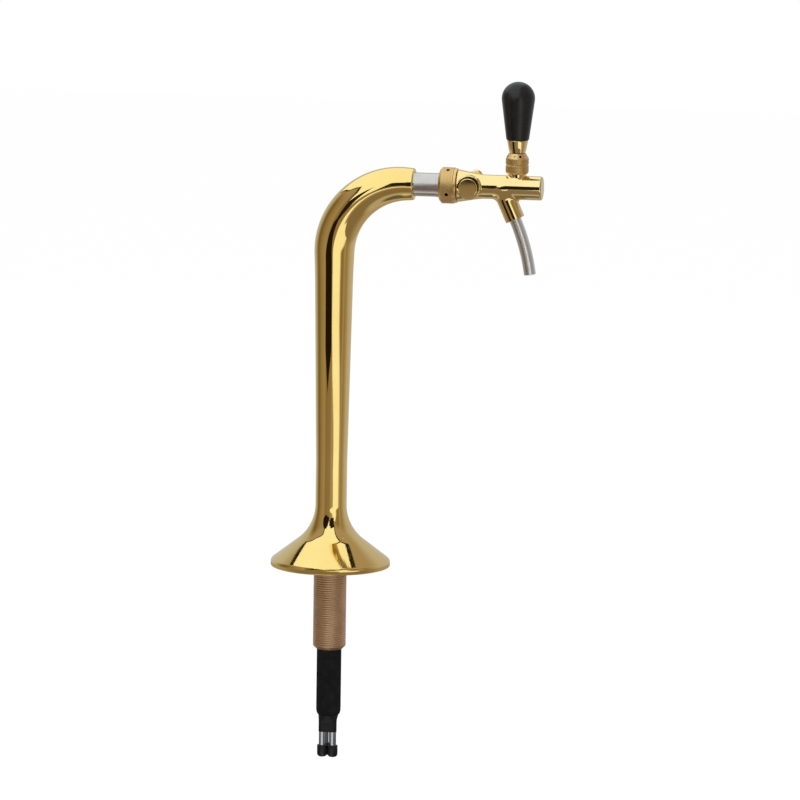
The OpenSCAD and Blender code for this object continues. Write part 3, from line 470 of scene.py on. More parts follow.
def makeBendTree():
    # Bends what stands above a height round an arc towards +X, and lets the rest run on straight
    graph, source = newTree("bend", {"Bend Start": 0.0, "Bend Radius": 71.0, "Bend Angle": math.pi / 2})
    x, y, z = graph.axes(graph.node("GeometryNodeInputPosition"))
    start, radius, whole = source.out("Bend Start"), source.out("Bend Radius"), source.out("Bend Angle")
    run = z - start
    angle = (run / radius).most(0.0).least(whole)
    past = (run - radius * whole).most(0.0)
    cosine, sine = angle.maths("COSINE", angle), angle.maths("SINE", angle)
    across = radius - (radius - x) * cosine + past * sine
    height = start + run.least(0.0) + (radius - x) * sine + past * cosine
    return closeTree(graph, source, moved(graph, source, across, y, height))


def makeThreadTree():
    # Cuts one helical V thread into the outside of a turned piece
    graph, source = newTree("thread", {"Thread Radius": 16.6, "Pitch": 2.309, "Depth": 1.0, "Top": 0.0,
                                       "Fade": 2.0, "Core": 14.0})
    crestWidth = 1.3
    x, y, z, reach, turn = roundPlace(graph)
    flank = x.maths("PINGPONG", z / source.out("Pitch") - turn, 0.5) * 2.0
    crest = (flank * crestWidth).least(1.0)
    fade = ((source.out("Top") - z) / source.out("Fade")).clamped()
    cut = source.out("Thread Radius") - source.out("Depth") * (1 - crest) * fade
    outside = reach.above(source.out("Core"))
    newReach = reach.least(cut) * outside + reach * (1 - outside)
    placed = reached(graph, source, x, y, z, reach, newReach)
    return closeTree(graph, source, marked(graph, placed, "POINT", "relief", crest))


def makeKnurlTree():
    # Presses a diamond knurl into a band on the outside of a turned piece
    graph, source = newTree("knurl", {"Count": 90, "Rise": 1.2, "Depth": 0.3, "From": 0.0, "To": 10.0,
                                      "Soft": 0.4, "Core": 10.0})
    crestWidth = 1.5
    x, y, z, reach, turn = roundPlace(graph)
    across, along = turn * source.out("Count"), z / source.out("Rise")
    right = x.maths("PINGPONG", across + along, 0.5) * 2.0
    left = x.maths("PINGPONG", across - along, 0.5) * 2.0
    diamond = (right.least(left) * crestWidth).least(1.0)
    soft = source.out("Soft")
    band = ((z - source.out("From")) / soft).clamped() * ((source.out("To") - z) / soft).clamped()
    pressed = (1 - diamond) * band * reach.above(source.out("Core"))
    placed = reached(graph, source, x, y, z, reach, reach - source.out("Depth") * pressed)
    return closeTree(graph, source, marked(graph, placed, "POINT", "relief", 1 - pressed))


def makeHolesTree():
    # Drills a ring of round holes, tilted up from the level, into a turned piece
    graph, source = newTree("holes", {"Count": 4, "Start Angle": 0.0, "Reach": 18.0, "Height": 5.0,
                                      "Tilt": 0.0, "Hole Radius": 1.8, "Depth": 3.0})
    points = graph.node("GeometryNodePoints", None, {"Count": source.out("Count")})
    index = graph.node("GeometryNodeInputIndex")
    angle = index * (2 * math.pi) / source.out("Count") + source.out("Start Angle")
    cosine, sine = angle.maths("COSINE", angle), angle.maths("SINE", angle)
    reach, slant = source.out("Reach"), source.out("Tilt")
    level, lift = angle.maths("COSINE", slant), angle.maths("SINE", slant)
    placed = moved(graph, points, cosine * reach, sine * reach, source.out("Height"))
    heading = graph.joined(cosine * level, sine * level, lift)
    turned = graph.node("FunctionNodeAlignRotationToVector", {"axis": "Z"}, {"Vector": heading})
    drill = graph.node("GeometryNodeMeshCylinder", None,
                       {"Vertices": 32, "Radius": source.out("Hole Radius"),
                        "Depth": source.out("Depth") * 2.0})
    # The drill's faces are marked hollow, so the satin gold paints the holes' insides near black as painted
    # shade
    drills = graph.node("GeometryNodeInstanceOnPoints", None,
                        {"Points": placed, "Instance": marked(graph, drill, "FACE", "hollow", 1.0),
                         "Rotation": turned})
    solid = graph.node("GeometryNodeRealizeInstances", None, {"Geometry": drills})
    cut = graph.node("GeometryNodeMeshBoolean", {"operation": "DIFFERENCE", "solver": "EXACT"},
                     {"Mesh 1": source, "Mesh 2": solid})
    return closeTree(graph, source, cut)


def makePipeTree():
    # Draws a pipe along a line of points
    graph, source = newTree("pipe", {"Pipe Radius": 3.5, "Sides": 32})
    line = graph.node("GeometryNodeMeshToCurve", None, {"Mesh": source})
    ring = graph.node("GeometryNodeCurvePrimitiveCircle", {"mode": "RADIUS"},
                      {"Resolution": source.out("Sides"), "Radius": source.out("Pipe Radius")})
    pipe = graph.node("GeometryNodeCurveToMesh", None, {"Curve": line, "Profile Curve": ring})
    return closeTree(graph, source, pipe)


bendTree = makeBendTree()
threadTree = makeThreadTree()
knurlTree = makeKnurlTree()
holesTree = makeHolesTree()
pipeTree = makePipeTree()


def addPiece(name, mesh, placement, material, node, sharp=34):
    # Puts a mesh in place in metres, closes its seams, marks its sharp edges and lets it ride; its body is
    # that of the CAD node that it stands for
    mesh.name = name
    mesh.transform(Matrix.Scale(mm, 4) @ placement)
    shape = bmesh.new()
    shape.from_mesh(mesh)
    bmesh.ops.remove_doubles(shape, verts=shape.verts, dist=1e-7)
    bmesh.ops.dissolve_degenerate(shape, edges=shape.edges, dist=1e-8)
    bmesh.ops.recalc_face_normals(shape, faces=shape.faces)
    limit = math.radians(sharp)
    for face in shape.faces:
        face.smooth = True
    for edge in shape.edges:
        edge.smooth = len(edge.link_faces) == 2 and edge.calc_face_angle() < limit
    openEdges = sum(1 for edge in shape.edges if len(edge.link_faces) != 2)
    shape.to_mesh(mesh)
    shape.free()
    mesh.materials.clear()
    mesh.materials.append(material)
    made = newObject(name, mesh)
    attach(made, bodyOf[node])
    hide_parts(node)
    mesh.calc_loop_triangles()
    print("piece", name, len(mesh.loop_triangles), "triangles, open edges:", openEdges)
    return made


def addTurned(name, profile, sides, placement, material, node):
    return addPiece(name, turnedMesh(name, profile, sides), placement, material, node)


# Column and flange, turned upright and then bent over

column = {"flangeRadius": 60.0, "foot": 1.2, "rimHeight": 4.2, "rimRound": 4.0, "slope": 37.6,
          "flareRadius": 45.0, "stemRadius": 15.65, "taperHeight": 107.0, "swellHeight": 288.8,
          "swellRadius": 19.0, "bulgeRadius": 20.3, "bulgeRun": 45.0, "outletRadius": 15.85,
          "outletRate": 0.085, "bendLead": 28.6, "bendRadius": 71.0, "outletLead": 9.2, "wall": 1.7,
          "endWall": 8.0, "edge": 1.5, "shankHole": 11.85, "spigotHole": 15.65, "spigotDepth": 20.05,
          "recessInner": 24.625, "recessOuter": 54.0, "flangeWall": 3.5, "sides": 192}
swellRun = column["bendLead"] + column["bendRadius"] * math.pi / 2 + column["outletLead"]


def hermite(t, start, startRate, end, endRate):
    return ((2 * t ** 3 - 3 * t ** 2 + 1) * start + (t ** 3 - 2 * t ** 2 + t) * startRate
            + (3 * t ** 2 - 2 * t ** 3) * end + (t ** 3 - t ** 2) * endRate)


def swellRadius(run):
    # Radius of the column at a distance above the height where it begins to swell
    c = column
    rate = (c["swellRadius"] - c["stemRadius"]) / (c["swellHeight"] - c["taperHeight"])
    if run < c["bulgeRun"]:
        return hermite(run / c["bulgeRun"], c["swellRadius"], rate * c["bulgeRun"], c["bulgeRadius"], 0)
    rest = swellRun - c["bulgeRun"]
    share = (run - c["bulgeRun"]) / rest
    return hermite(share, c["bulgeRadius"], 0, c["outletRadius"], -c["outletRate"] * rest)


def columnProfile():
    c = column
    slope = math.radians(c["slope"])
    rise = math.tan(slope)
    slopeHeight = c["rimHeight"] + c["rimRound"] * math.cos(slope)
    slopeReach = c["flangeRadius"] - c["rimRound"] * (1 - math.sin(slope))
    flareReach = c["stemRadius"] + c["flareRadius"] * (1 - math.sin(slope))
    flareHeight = slopeHeight + (slopeReach - flareReach) * rise + c["flareRadius"] * math.cos(slope)
    outside = arcPoints(c["flangeRadius"] - c["foot"], c["foot"], c["foot"], -90, 0, 8)
    outside += arcPoints(c["flangeRadius"] - c["rimRound"], c["rimHeight"], c["rimRound"],
                         0, 90 - c["slope"], 14)
    outside += arcPoints(c["stemRadius"] + c["flareRadius"], flareHeight, c["flareRadius"],
                         270 - c["slope"], 180, 40)
    outside += linePoints((c["stemRadius"], flareHeight), (c["stemRadius"], c["taperHeight"]), 4)[1:]
    outside += linePoints((c["stemRadius"], c["taperHeight"]), (c["swellRadius"], c["swellHeight"]), 12)[1:]
    end = c["swellHeight"] + swellRun
    edgeRun, steps = swellRun - c["edge"], 72
    outside += [(swellRadius(edgeRun * i / steps), c["swellHeight"] + edgeRun * i / steps)
                for i in range(1, steps + 1)]
    edgeRadius = swellRadius(edgeRun)
    outside += [(edgeRadius - c["edge"] * (1 - math.cos(a)), end - c["edge"] * (1 - math.sin(a)))
                for a in degreeSteps(11.25, 90, 8)]
    bore = c["stemRadius"] - c["wall"]
    inside = [(c["shankHole"], end), (c["shankHole"], end - c["endWall"])]
    inside += [(swellRadius(run) - c["wall"], c["swellHeight"] + run)
               for run in np.linspace(swellRun - c["endWall"], 0, 30)]
    inside += [(bore, c["taperHeight"]), (bore, c["spigotDepth"]),
               (c["spigotHole"], c["spigotDepth"]), (c["spigotHole"], 0)]
    roof = slopeHeight - c["flangeWall"] / math.cos(slope)
    roofInner = roof + (slopeReach - flareReach - 1) * rise
    roofOuter = roof + (slopeReach - c["recessOuter"]) * rise
    underside = [(c["recessInner"], 0), (c["recessInner"], roofInner), (flareReach + 1, roofInner),
                 (c["recessOuter"], roofOuter), (c["recessOuter"], 0)]
    return outside + inside + underside


bend = {"Bend Start": column["swellHeight"] + column["bendLead"], "Bend Radius": column["bendRadius"],
        "Bend Angle": math.pi / 2}
columnMesh = grow(turnedMesh("columnShell", columnProfile(), column["sides"]), bendTree, columnGold, bend)
addPiece("columnShell", columnMesh, upright, columnGold, "tower_column")

# Mounting tube, foam, wrap, lines and caps

mountTube = {"radius": 16.625, "length": 85.0, "chamfer": 3.405, "bore": 12.7, "spigot": 15.6,
             "spigotLength": 20.0, "pitch": 2.309, "depth": 0.45, "sides": 96, "ringsPerTurn": 8}


def makeMountTube():
    m = mountTube
    foot = -m["length"]
    wide = (m["radius"], foot + m["chamfer"])
    rings = int(m["length"] / m["pitch"] * m["ringsPerTurn"])
    profile = ([(m["bore"], foot)] + linePoints((m["radius"] - m["chamfer"], foot), wide, 12)
               + linePoints(wide, (m["radius"], 0), rings)[1:]
               + [(m["spigot"], 0), (m["spigot"], m["spigotLength"]), (m["bore"], m["spigotLength"])])
    mesh = grow(turnedMesh("mountTube", profile, m["sides"]), threadTree, brownBrass,
                {"Thread Radius": m["radius"], "Pitch": m["pitch"], "Depth": m["depth"], "Top": -0.2,
                 "Fade": 1.0, "Core": 13.2})
    addPiece("threadedTube", mesh, upright, brownBrass, "mounting_tube", 60)


sleeve = {"radius": 12.4, "bore": 9.92, "bottom": -152.6, "top": 284.8, "endHeight": 6.5, "endRadius": 10.3,
          "sides": 96}


def makeSleeve():
    s = sleeve
    shoulder = [(s["endRadius"] + (s["radius"] - s["endRadius"]) * math.sin(a),
                 s["bottom"] + s["endHeight"] * (1 - math.cos(a))) for a in degreeSteps(0, 90, 10)]
    side = linePoints(shoulder[-1], (s["radius"], s["top"]), 60)[1:]
    profile = [(s["bore"], s["bottom"])] + shoulder + side + [(s["bore"], s["top"])]
    made = addTurned("foamSleeve", profile, s["sides"], upright, blackFoam, "foam_sleeve")


# Three lines stand in a triangle: the product runs round to the shank, the coolant turns back in the bend
lines = {"radius": 3.5, "wall": 0.8, "pitch": 10.6, "bottom": -194.5, "bendHeight": 317.4, "bendRadius": 71.0,
         "loopAngle": 40.0, "shankEnd": 75.3, "sides": 40}
bundle = lines["pitch"] / math.sqrt(3)
linePlaces = [(0, bundle), (-lines["pitch"] / 2, -bundle / 2), (lines["pitch"] / 2, -bundle / 2)]


def makePipe(name, points, node):
    line = newMesh(name, points, [], [(i, i + 1) for i in range(len(points) - 1)])
    sizes = {"Pipe Radius": lines["radius"], "Sides": lines["sides"]}
    pipe = newObject("pipeHolder", grow(line, pipeTree, drawnSteel, sizes))
    wall = pipe.modifiers.new("wall", "SOLIDIFY")
    wall.thickness = lines["wall"]
    wall.offset = -1
    wall.use_rim = True
    result = evaluatedMesh(pipe)
    bpy.data.objects.remove(pipe)
    addPiece(name, result, upright, drawnSteel, node)


def bendPoints(reach, angles):
    # Points round the bend's centre, by angle from where the bend begins
    centre, height = lines["bendRadius"], lines["bendHeight"]
    return [(centre - reach * math.cos(a), height + reach * math.sin(a)) for a in angles]


def makeLines():
    n = lines
    radius, height, angle, half = n["bendRadius"], n["bendHeight"], n["loopAngle"], n["pitch"] / 2
    yaw = math.asin(bundle / n["shankEnd"])
    flat = [(0, z) for z in np.linspace(n["bottom"], height, 30)]
    flat += bendPoints(radius, degreeSteps(3, 90, 30))
    flat += [(radius + 2, tap["height"]), (n["shankEnd"], tap["height"])]
    product = [(u * math.cos(yaw), bundle - u * math.sin(yaw), z) for u, z in flat]
    makePipe("productPipe", product, "product_line")
    up = [(-half, z) for z in np.linspace(n["bottom"], height, 30)]
    up += bendPoints(radius + half, degreeSteps(2, angle, 16))
    topX, topZ = bendPoints(radius, [math.radians(angle)])[0]
    turn = [(topX - half * math.cos(a), topZ + half * math.sin(a))
            for a in degreeSteps(angle + 12, angle + 168, 14)]
    down = bendPoints(radius - half, degreeSteps(angle, 2, 16))
    down += [(half, z) for z in np.linspace(height, n["bottom"], 30)]
    makePipe("coolantPipe", [(u, -bundle / 2, z) for u, z in up + turn + down], "coolant_loop")


wrap = {"top": -152.9, "bottom": -170.2, "shoulder": 8.0, "topRadius": 10.1, "thickness": 0.4, "play": 0.05,
        "turnIn": 0.35, "lipIn": 0.5, "lipRise": 1.0, "floorRise": 1.2, "core": 2.0, "sides": 96}


def stretchedReach(angle, radius):
    # Distance from the middle, at an angle, to a skin stretched over the three lines
    normals = np.radians(np.arange(0, 360, 2))
    support = np.max([x * np.cos(normals) + y * np.sin(normals) for x, y in linePlaces], axis=0) + radius
    facing = np.cos(normals - angle)
    return float(np.min(np.where(facing > 0.05, support / np.maximum(facing, 0.05), 1e6)))


def makeWrap():
    w = wrap
    angles = [2 * math.pi * k / w["sides"] for k in range(w["sides"])]
    lobes = np.array([stretchedReach(a, lines["radius"] + w["play"] + w["thickness"]) for a in angles])
    for _ in range(2):
        lobes = (np.roll(lobes, 1) + 2 * lobes + np.roll(lobes, -1)) / 4
    even = np.ones(len(angles))
    below = w["top"] - w["shoulder"]
    stages = []
    for t in np.linspace(0, 1, 13):
        share = 3 * t * t - 2 * t ** 3
        stages.append((w["topRadius"] * (1 - share) + lobes * share, w["top"] - w["shoulder"] * t))
    for t in np.linspace(0.1, 1, 10):
        stages.append((lobes, below - (below - w["bottom"]) * t))
    stages += [(lobes - w["turnIn"], w["bottom"]), (lobes - w["lipIn"], w["bottom"] + w["lipRise"]),
               (even * w["core"], w["bottom"] + w["floorRise"]), (even * w["core"], w["top"]),
               (even * (w["topRadius"] - w["thickness"]), w["top"])]
    points = [(r * math.cos(a), r * math.sin(a), z) for reach, z in stages for r, a in zip(reach, angles)]
    mesh = newMesh("footWrap", points, gridFaces(len(stages), w["sides"], True, True))
    addPiece("footWrap", mesh, upright, blackRubber, "foot_wrap")


endCap = {"radius": 5.15, "length": 12.0, "bottom": -196.0, "edge": 3.2, "lip": 0.35, "thickness": 1.5,
          "bore": 3.55, "sides": 48}


def makeCaps():
    e = endCap
    profile = ([(0, 0)] + arcPoints(e["radius"] - e["edge"], e["edge"], e["edge"], -90, 0, 8)
               + arcPoints(e["radius"] - e["lip"], e["length"] - e["lip"], e["lip"], 0, 90, 4)
               + [(e["bore"], e["length"]), (e["bore"], e["thickness"]), (0, e["thickness"])])
    caps = {"productCap": "product_line_cap", "coolantFlowCap": "coolant_flow_cap",
            "coolantReturnCap": "coolant_return_cap"}
    for (name, node), (x, y) in zip(caps.items(), linePlaces):
        place = Matrix.Translation((x, y, e["bottom"]))
        addTurned(name, profile, e["sides"], place, capPlastic, node)


makeMountTube()
makeSleeve()
makeLines()
makeWrap()
makeCaps()
print("foot made")

# Shank and coupling nut

shank = {"radius": 11.8, "rear": 67.9, "ring": 12.1, "ringFrom": 102.6, "ringTo": 105.4, "thread": 11.45,
         "bore": 4.0, "cup": 4.5, "cupEnd": 75.9, "edge": 0.6, "ringEdge": 0.2, "sides": 128}


def makeShank():
    s = shank
    edge, ringEdge, front = s["edge"], s["ringEdge"], tap["shankFront"]
    profile = [(s["bore"], s["cupEnd"]), (s["cup"], s["cupEnd"]), (s["cup"], s["rear"]),
               (s["radius"] - edge, s["rear"]), (s["radius"], s["rear"] + edge), (s["radius"], s["ringFrom"]),
               (s["ring"] - ringEdge, s["ringFrom"]), (s["ring"], s["ringFrom"] + ringEdge),
               (s["ring"], s["ringTo"] - ringEdge), (s["ring"] - ringEdge, s["ringTo"]),
               (s["thread"], s["ringTo"]), (s["thread"], front - edge), (s["thread"] - edge, front),
               (s["bore"], front)]
    addTurned("shankTube", profile, s["sides"], onTapAxis, turnedSteel, "shank")


nut = {"radius": 18.0, "chamfer": 2.3, "lip": 17.2, "lipLength": 2.6, "bore": 11.5, "cavity": 13.6,
       "cavityFrom": 118.0, "cavityTo": 121.6, "lipBore": 11.45, "knurls": 92, "knurlDepth": 0.16,
       "edge": 0.6, "holeAngle": 65.0, "holeRadius": 1.8, "holeDepth": 3.0, "sides": 460}


def makeNut():
    n = nut
    rear, front, edge = tap["nut"], tap["nutFront"], n["edge"]
    knurlStart, knurlEnd = rear + n["chamfer"], front - n["lipLength"]
    band = linePoints((n["radius"], knurlStart), (n["radius"], knurlEnd - edge), 52)
    profile = ([(n["bore"], rear)] + linePoints((n["radius"] - n["chamfer"], rear), band[0], 3)[:-1] + band
               + [(n["lip"], knurlEnd), (n["lip"], front - edge), (n["lip"] - 0.3 * edge, front - 0.3 * edge),
                  (n["lip"] - edge, front), (n["lipBore"], front), (n["lipBore"], n["cavityTo"]),
                  (n["cavity"], n["cavityTo"]), (n["cavity"], n["cavityFrom"]), (n["bore"], n["cavityFrom"])])
    knurled = grow(turnedMesh("couplingNut", profile, n["sides"]), knurlTree, satinGold,
                   {"Count": n["knurls"], "Rise": 2 * math.pi * n["radius"] / n["knurls"],
                    "Depth": n["knurlDepth"], "From": knurlStart, "To": knurlEnd - edge, "Soft": 0.5,
                    "Core": 15.0})
    # Once it lies on the tap's axis, the turned mesh's X points down
    drilled = grow(knurled, holesTree, satinGold,
                   {"Count": 4, "Start Angle": math.radians(-90 - n["holeAngle"]), "Reach": n["radius"],
                    "Height": (knurlStart + knurlEnd) / 2, "Hole Radius": n["holeRadius"],
                    "Depth": n["holeDepth"]})
    addPiece("couplingNut", drilled, onTapAxis, satinGold, "coupling_nut", 38)


makeShank()
makeNut()
print("shank and nut made")

# Tap body, drawn from rounded solids that run into one another

body = {"step": 0.5, "low": (118.3, -16.6, -38.2), "high": (210.2, 16.6, 28.4), "coneRadius": 16.15,
        "coneLength": 25.0, "kneeRun": 0.72, "kneeRise": 0.23, "barrelRadius": 12.1, "frontRadius": 11.9,
        "frontRound": 2.0, "tailRadius": 11.3, "grooveRadius": 10.3, "grooveFrom": 120.35, "grooveTo": 121.55,
        "bossRadius": 11.9, "bossHalf": 15.5, "edge": 0.8, "neckRadius": 8.4, "neckThread": 8.6,
        "threadFrom": 13.8, "neckTop": 27.0, "spoutRadius": 9.9, "spoutLength": 34.8, "spoutEdge": 0.6,
        "spoutSocket": 6.12, "spoutDepth": 6.0, "portRadius": 4.5, "chamberRear": 9.2, "chamber": 8.4,
        "chamberTaper": 16.0, "bore": 7.0, "relief": 8.6, "reliefLead": 3.0, "reliefEnd": 169.6,
        "boreFront": 204.9, "crossBore": 7.0, "socket": 7.1, "shelf": 19.8, "slotFoot": 12.0, "slotTop": 4.4,
        "slotHalf": 2.9, "overrun": 2.0, "neckFillet": 2.4, "spoutFillet": 4.2, "bossFillet": 1.0}
pastAxis = -3  # an outline turned about an axis reaches a little past it


def polygonField(a, b, corners):
    # Signed distance of points (a, b) from a closed outline, less than 0 inside
    nearest = np.full(a.shape, 1e9)
    sign = np.ones(a.shape)
    for i, (ax, ay) in enumerate(corners):
        bx, by = corners[i - 1]
        ex, ey = bx - ax, by - ay
        wx, wy = a - ax, b - ay
        share = np.clip((wx * ex + wy * ey) / (ex * ex + ey * ey), 0, 1)
        nearest = np.minimum(nearest, (wx - ex * share) ** 2 + (wy - ey * share) ** 2)
        one, two, three = b >= ay, b < by, ex * wy > ey * wx
        flip = (one & two & three) | (~one & ~two & ~three)
        sign = np.where(flip, -sign, sign)
    return sign * np.sqrt(nearest)


def edgeArc(radius, along, edge, start, end, steps):
    # A rounded edge as (along, radius) points
    return [(x, r) for r, x in arcPoints(radius, along, edge, start, end, steps)]


def bodySolids():
    b = body
    cone, front, edge = tap["cone"], tap["front"], b["edge"]
    knee = (cone + b["kneeRun"] * b["coneLength"],
            b["barrelRadius"] + b["kneeRise"] * (b["coneRadius"] - b["barrelRadius"]))
    barrel = [(tap["tail"], pastAxis), (tap["tail"], b["tailRadius"]), (b["grooveFrom"], b["tailRadius"]),
              (b["grooveFrom"], b["grooveRadius"]), (b["grooveTo"], b["grooveRadius"]),
              (b["grooveTo"], b["tailRadius"]), (cone, b["tailRadius"])]
    barrel += edgeArc(b["coneRadius"] - edge, cone + edge, edge, 0, -90, 6)[::-1]
    barrel += [knee, (cone + b["coneLength"], b["barrelRadius"])]
    barrel += edgeArc(b["frontRadius"] - b["frontRound"], front - b["frontRound"], b["frontRound"], 0, 90, 8)
    barrel += [(front, pastAxis)]
    half, boss = b["bossHalf"], b["bossRadius"]
    cross = ([(-half, pastAxis)] + edgeArc(boss - edge, edge - half, edge, 0, -90, 5)[::-1]
             + edgeArc(boss - edge, half - edge, edge, 0, 90, 5) + [(half, pastAxis)])
    neck = [(0, pastAxis), (0, b["neckRadius"]), (b["threadFrom"], b["neckRadius"]),
            (b["threadFrom"], b["neckThread"]), (b["neckTop"], b["neckThread"]), (b["neckTop"], pastAxis)]
    edge = b["spoutEdge"]
    spout = ([(0, pastAxis), (0, b["spoutRadius"])]
             + edgeArc(b["spoutRadius"] - edge, b["spoutLength"] - edge, edge, 0, 90, 5)
             + [(b["spoutLength"], pastAxis)])
    return barrel, cross, neck, spout


def bodyHollows():
    b = body
    tail, chamber, seat = tap["tail"] - b["overrun"], tap["cone"] + 1, tap["seat"]
    relief, spoutFoot = seat + b["reliefLead"], b["spoutLength"] - b["spoutDepth"]
    spoutEnd, neckEnd = b["spoutLength"] + b["overrun"], b["neckTop"] + b["overrun"]
    flow = [(tail, pastAxis), (tail, b["chamberRear"]), (chamber, b["chamberRear"]),
            (chamber + b["chamberTaper"], b["chamber"]), (seat, b["chamber"]), (seat, b["bore"]),
            (relief, b["bore"]), (relief, b["relief"]), (b["reliefEnd"], b["relief"]),
            (b["reliefEnd"], b["bore"]), (b["boreFront"], b["bore"]), (b["boreFront"], pastAxis)]
    port = [(0, pastAxis), (0, b["portRadius"]), (spoutFoot, b["portRadius"]), (spoutFoot, b["spoutSocket"]),
            (spoutEnd, b["spoutSocket"]), (spoutEnd, pastAxis)]
    socket = [(b["shelf"], pastAxis), (b["shelf"], b["socket"]), (neckEnd, b["socket"]), (neckEnd, pastAxis)]
    slotEnd = b["shelf"] + 0.2
    slot = [(0, -b["slotFoot"]), (0, b["slotFoot"]), (slotEnd, b["slotTop"]), (slotEnd, -b["slotTop"])]
    return flow, port, socket, slot


def melt(first, second, fillet):
    # The smaller of two distances, rounded where they meet
    share = np.clip(0.5 + 0.5 * (second - first) / fillet, 0, 1)
    return second + (first - second) * share - fillet * share * (1 - share)


def makeBodyField():
    b = body
    barrel, cross, neck, spout = bodySolids()
    flow, port, socket, slot = bodyHollows()
    lean = math.radians(tap["spoutLean"])

    def field(x, y, z):
        fromSpout = x - tap["spout"]
        down = fromSpout * math.sin(lean) - z * math.cos(lean)
        aside = np.hypot(fromSpout * math.cos(lean) + z * math.sin(lean), y)
        fromHandle = np.hypot(x - tap["handle"], y)
        fromBoss = np.hypot(x - tap["boss"], z)
        reach = np.hypot(y, z)
        solid = melt(polygonField(x, reach, barrel), polygonField(z, fromHandle, neck), b["neckFillet"])
        solid = melt(solid, polygonField(down, aside, spout), b["spoutFillet"])
        solid = melt(solid, polygonField(y, fromBoss, cross), b["bossFillet"])
        crossBore = np.maximum(fromBoss - b["crossBore"], np.abs(y) - b["bossHalf"] - b["overrun"])
        leverSlot = np.maximum(polygonField(z, x - tap["handle"], slot), np.abs(y) - b["slotHalf"])
        hollows = [polygonField(x, reach, flow), polygonField(down, aside, port), crossBore,
                   polygonField(z, fromHandle, socket), leverSlot]
        return np.maximum(solid, -np.minimum.reduce(hollows))

    return field


def rawSlopes(field, points):
    # How the field changes along X, Y and Z at each point
    nudge = 0.02
    return np.stack([(field(*(points + step).T) - field(*(points - step).T)) / (2 * nudge)
                     for step in nudge * np.eye(3)], 1)


def crossingPoints(values, cells, corners):
    # The middle of the places where the surface crosses each cell's edges, in steps
    total, hits = np.zeros((len(cells), 3)), np.zeros(len(cells))
    for first in corners:
        for axis in range(3):
            if first[axis]:
                continue
            second = tuple(1 if i == axis else first[i] for i in range(3))
            a = values[tuple((cells + first).T)]
            b = values[tuple((cells + second).T)]
            crossed = (a < 0) != (b < 0)
            place = np.array(first, float)[None, :].repeat(len(cells), 0)
            place[:, axis] = np.where(crossed, a / np.where(crossed, a - b, 1), 0)
            total += place * crossed[:, None]
            hits += crossed
    return cells + total / hits[:, None]


def crossingFaces(inside, numbers, size):
    # One face for each grid edge that the surface crosses, between the four cells round it
    faces = []
    for axis in range(3):
        one, two = [i for i in range(3) if i != axis]
        here, after = [slice(None)] * 3, [slice(None)] * 3
        here[axis], after[axis] = slice(0, -1), slice(1, None)
        edges = np.argwhere(inside[tuple(here)] != inside[tuple(after)])
        across = edges[:, [one, two]]
        edges = edges[((across > 0) & (across < size[[one, two]])).all(1)]
        around = []
        for back in ((1, 1), (0, 1), (0, 0), (1, 0)):
            cell = edges.copy()
            cell[:, [one, two]] -= back
            around.append(numbers[tuple(cell.T)])
        quads = np.stack(around, 1)
        outward = inside[tuple(edges.T)] ^ (axis == 1)
        quads[~outward] = quads[~outward][:, ::-1]
        faces.append(quads)
    return np.concatenate(faces)


def fieldMesh(name, field, low, high, step):
    # One vertex for each cell that the surface crosses, drawn onto the surface
    axes = [np.arange(low[i], high[i] + step, step) for i in range(3)]
    values = field(*np.meshgrid(*axes, indexing="ij"))
    inside = values < 0
    corners = [(i, j, k) for i in (0, 1) for j in (0, 1) for k in (0, 1)]
    size = np.array(values.shape) - 1
    count = sum(inside[i:i + size[0], j:j + size[1], k:k + size[2]].astype(int) for i, j, k in corners)
    cells = np.argwhere((count > 0) & (count < len(corners)))
    numbers = np.full(size, -1)
    numbers[tuple(cells.T)] = np.arange(len(cells))
    points = crossingPoints(values, cells, corners) * step + np.array([a[0] for a in axes])
    for _ in range(4):
        slopes = rawSlopes(field, points)
        move = -field(*points.T)[:, None] * slopes / np.maximum((slopes ** 2).sum(1), 0.25)[:, None]
        points += np.clip(move, -0.4 * step, 0.4 * step)
    return newMesh(name, points.tolist(), crossingFaces(inside, numbers, size).tolist())


def fieldNormals(field, points):
    slopes = rawSlopes(field, points)
    return slopes / np.maximum(np.linalg.norm(slopes, axis=1), 1e-9)[:, None]


def smoothByField(made, field):
    # Shading normals straight from the field: one a vertex, or one a corner where an edge runs between
    bias, edgeAngle = 0.65, 14
    mesh = made.data
    points = np.empty(len(mesh.vertices) * 3)
    mesh.vertices.foreach_get("co", points)
    points = points.reshape(-1, 3) / mm - np.array([0, 0, tap["height"]])
    corners, counts = np.empty(len(mesh.loops), int), np.empty(len(mesh.polygons), int)
    mesh.loops.foreach_get("vertex_index", corners)
    mesh.polygons.foreach_get("loop_total", counts)
    owner = np.repeat(np.arange(len(counts)), counts)
    middles = np.zeros((len(counts), 3))
    np.add.at(middles, owner, points[corners])
    middles /= counts[:, None]
    atVertex = fieldNormals(field, points)[corners]
    atCorner = fieldNormals(field, points[corners] * bias + middles[owner] * (1 - bias))
    apart = (atVertex * atCorner).sum(1) < math.cos(math.radians(edgeAngle))
    mesh.normals_split_custom_set(np.where(apart[:, None], atCorner, atVertex).tolist())


bodyField = makeBodyField()
bodyMesh = fieldMesh("tapBody", bodyField, body["low"], body["high"], body["step"])
smoothByField(addPiece("tapBody", bodyMesh, atTap, goldPlate, "tap_body", 180), bodyField)
print("tap body made")

# Spout tube, bent by the same rule as the column

spoutTube = {"radius": 6.0, "wall": 0.8, "from": 29.0, "bendStart": 34.8, "bendRadius": 204.0, "turn": 16.0,
             "edge": 0.25, "sides": 64}


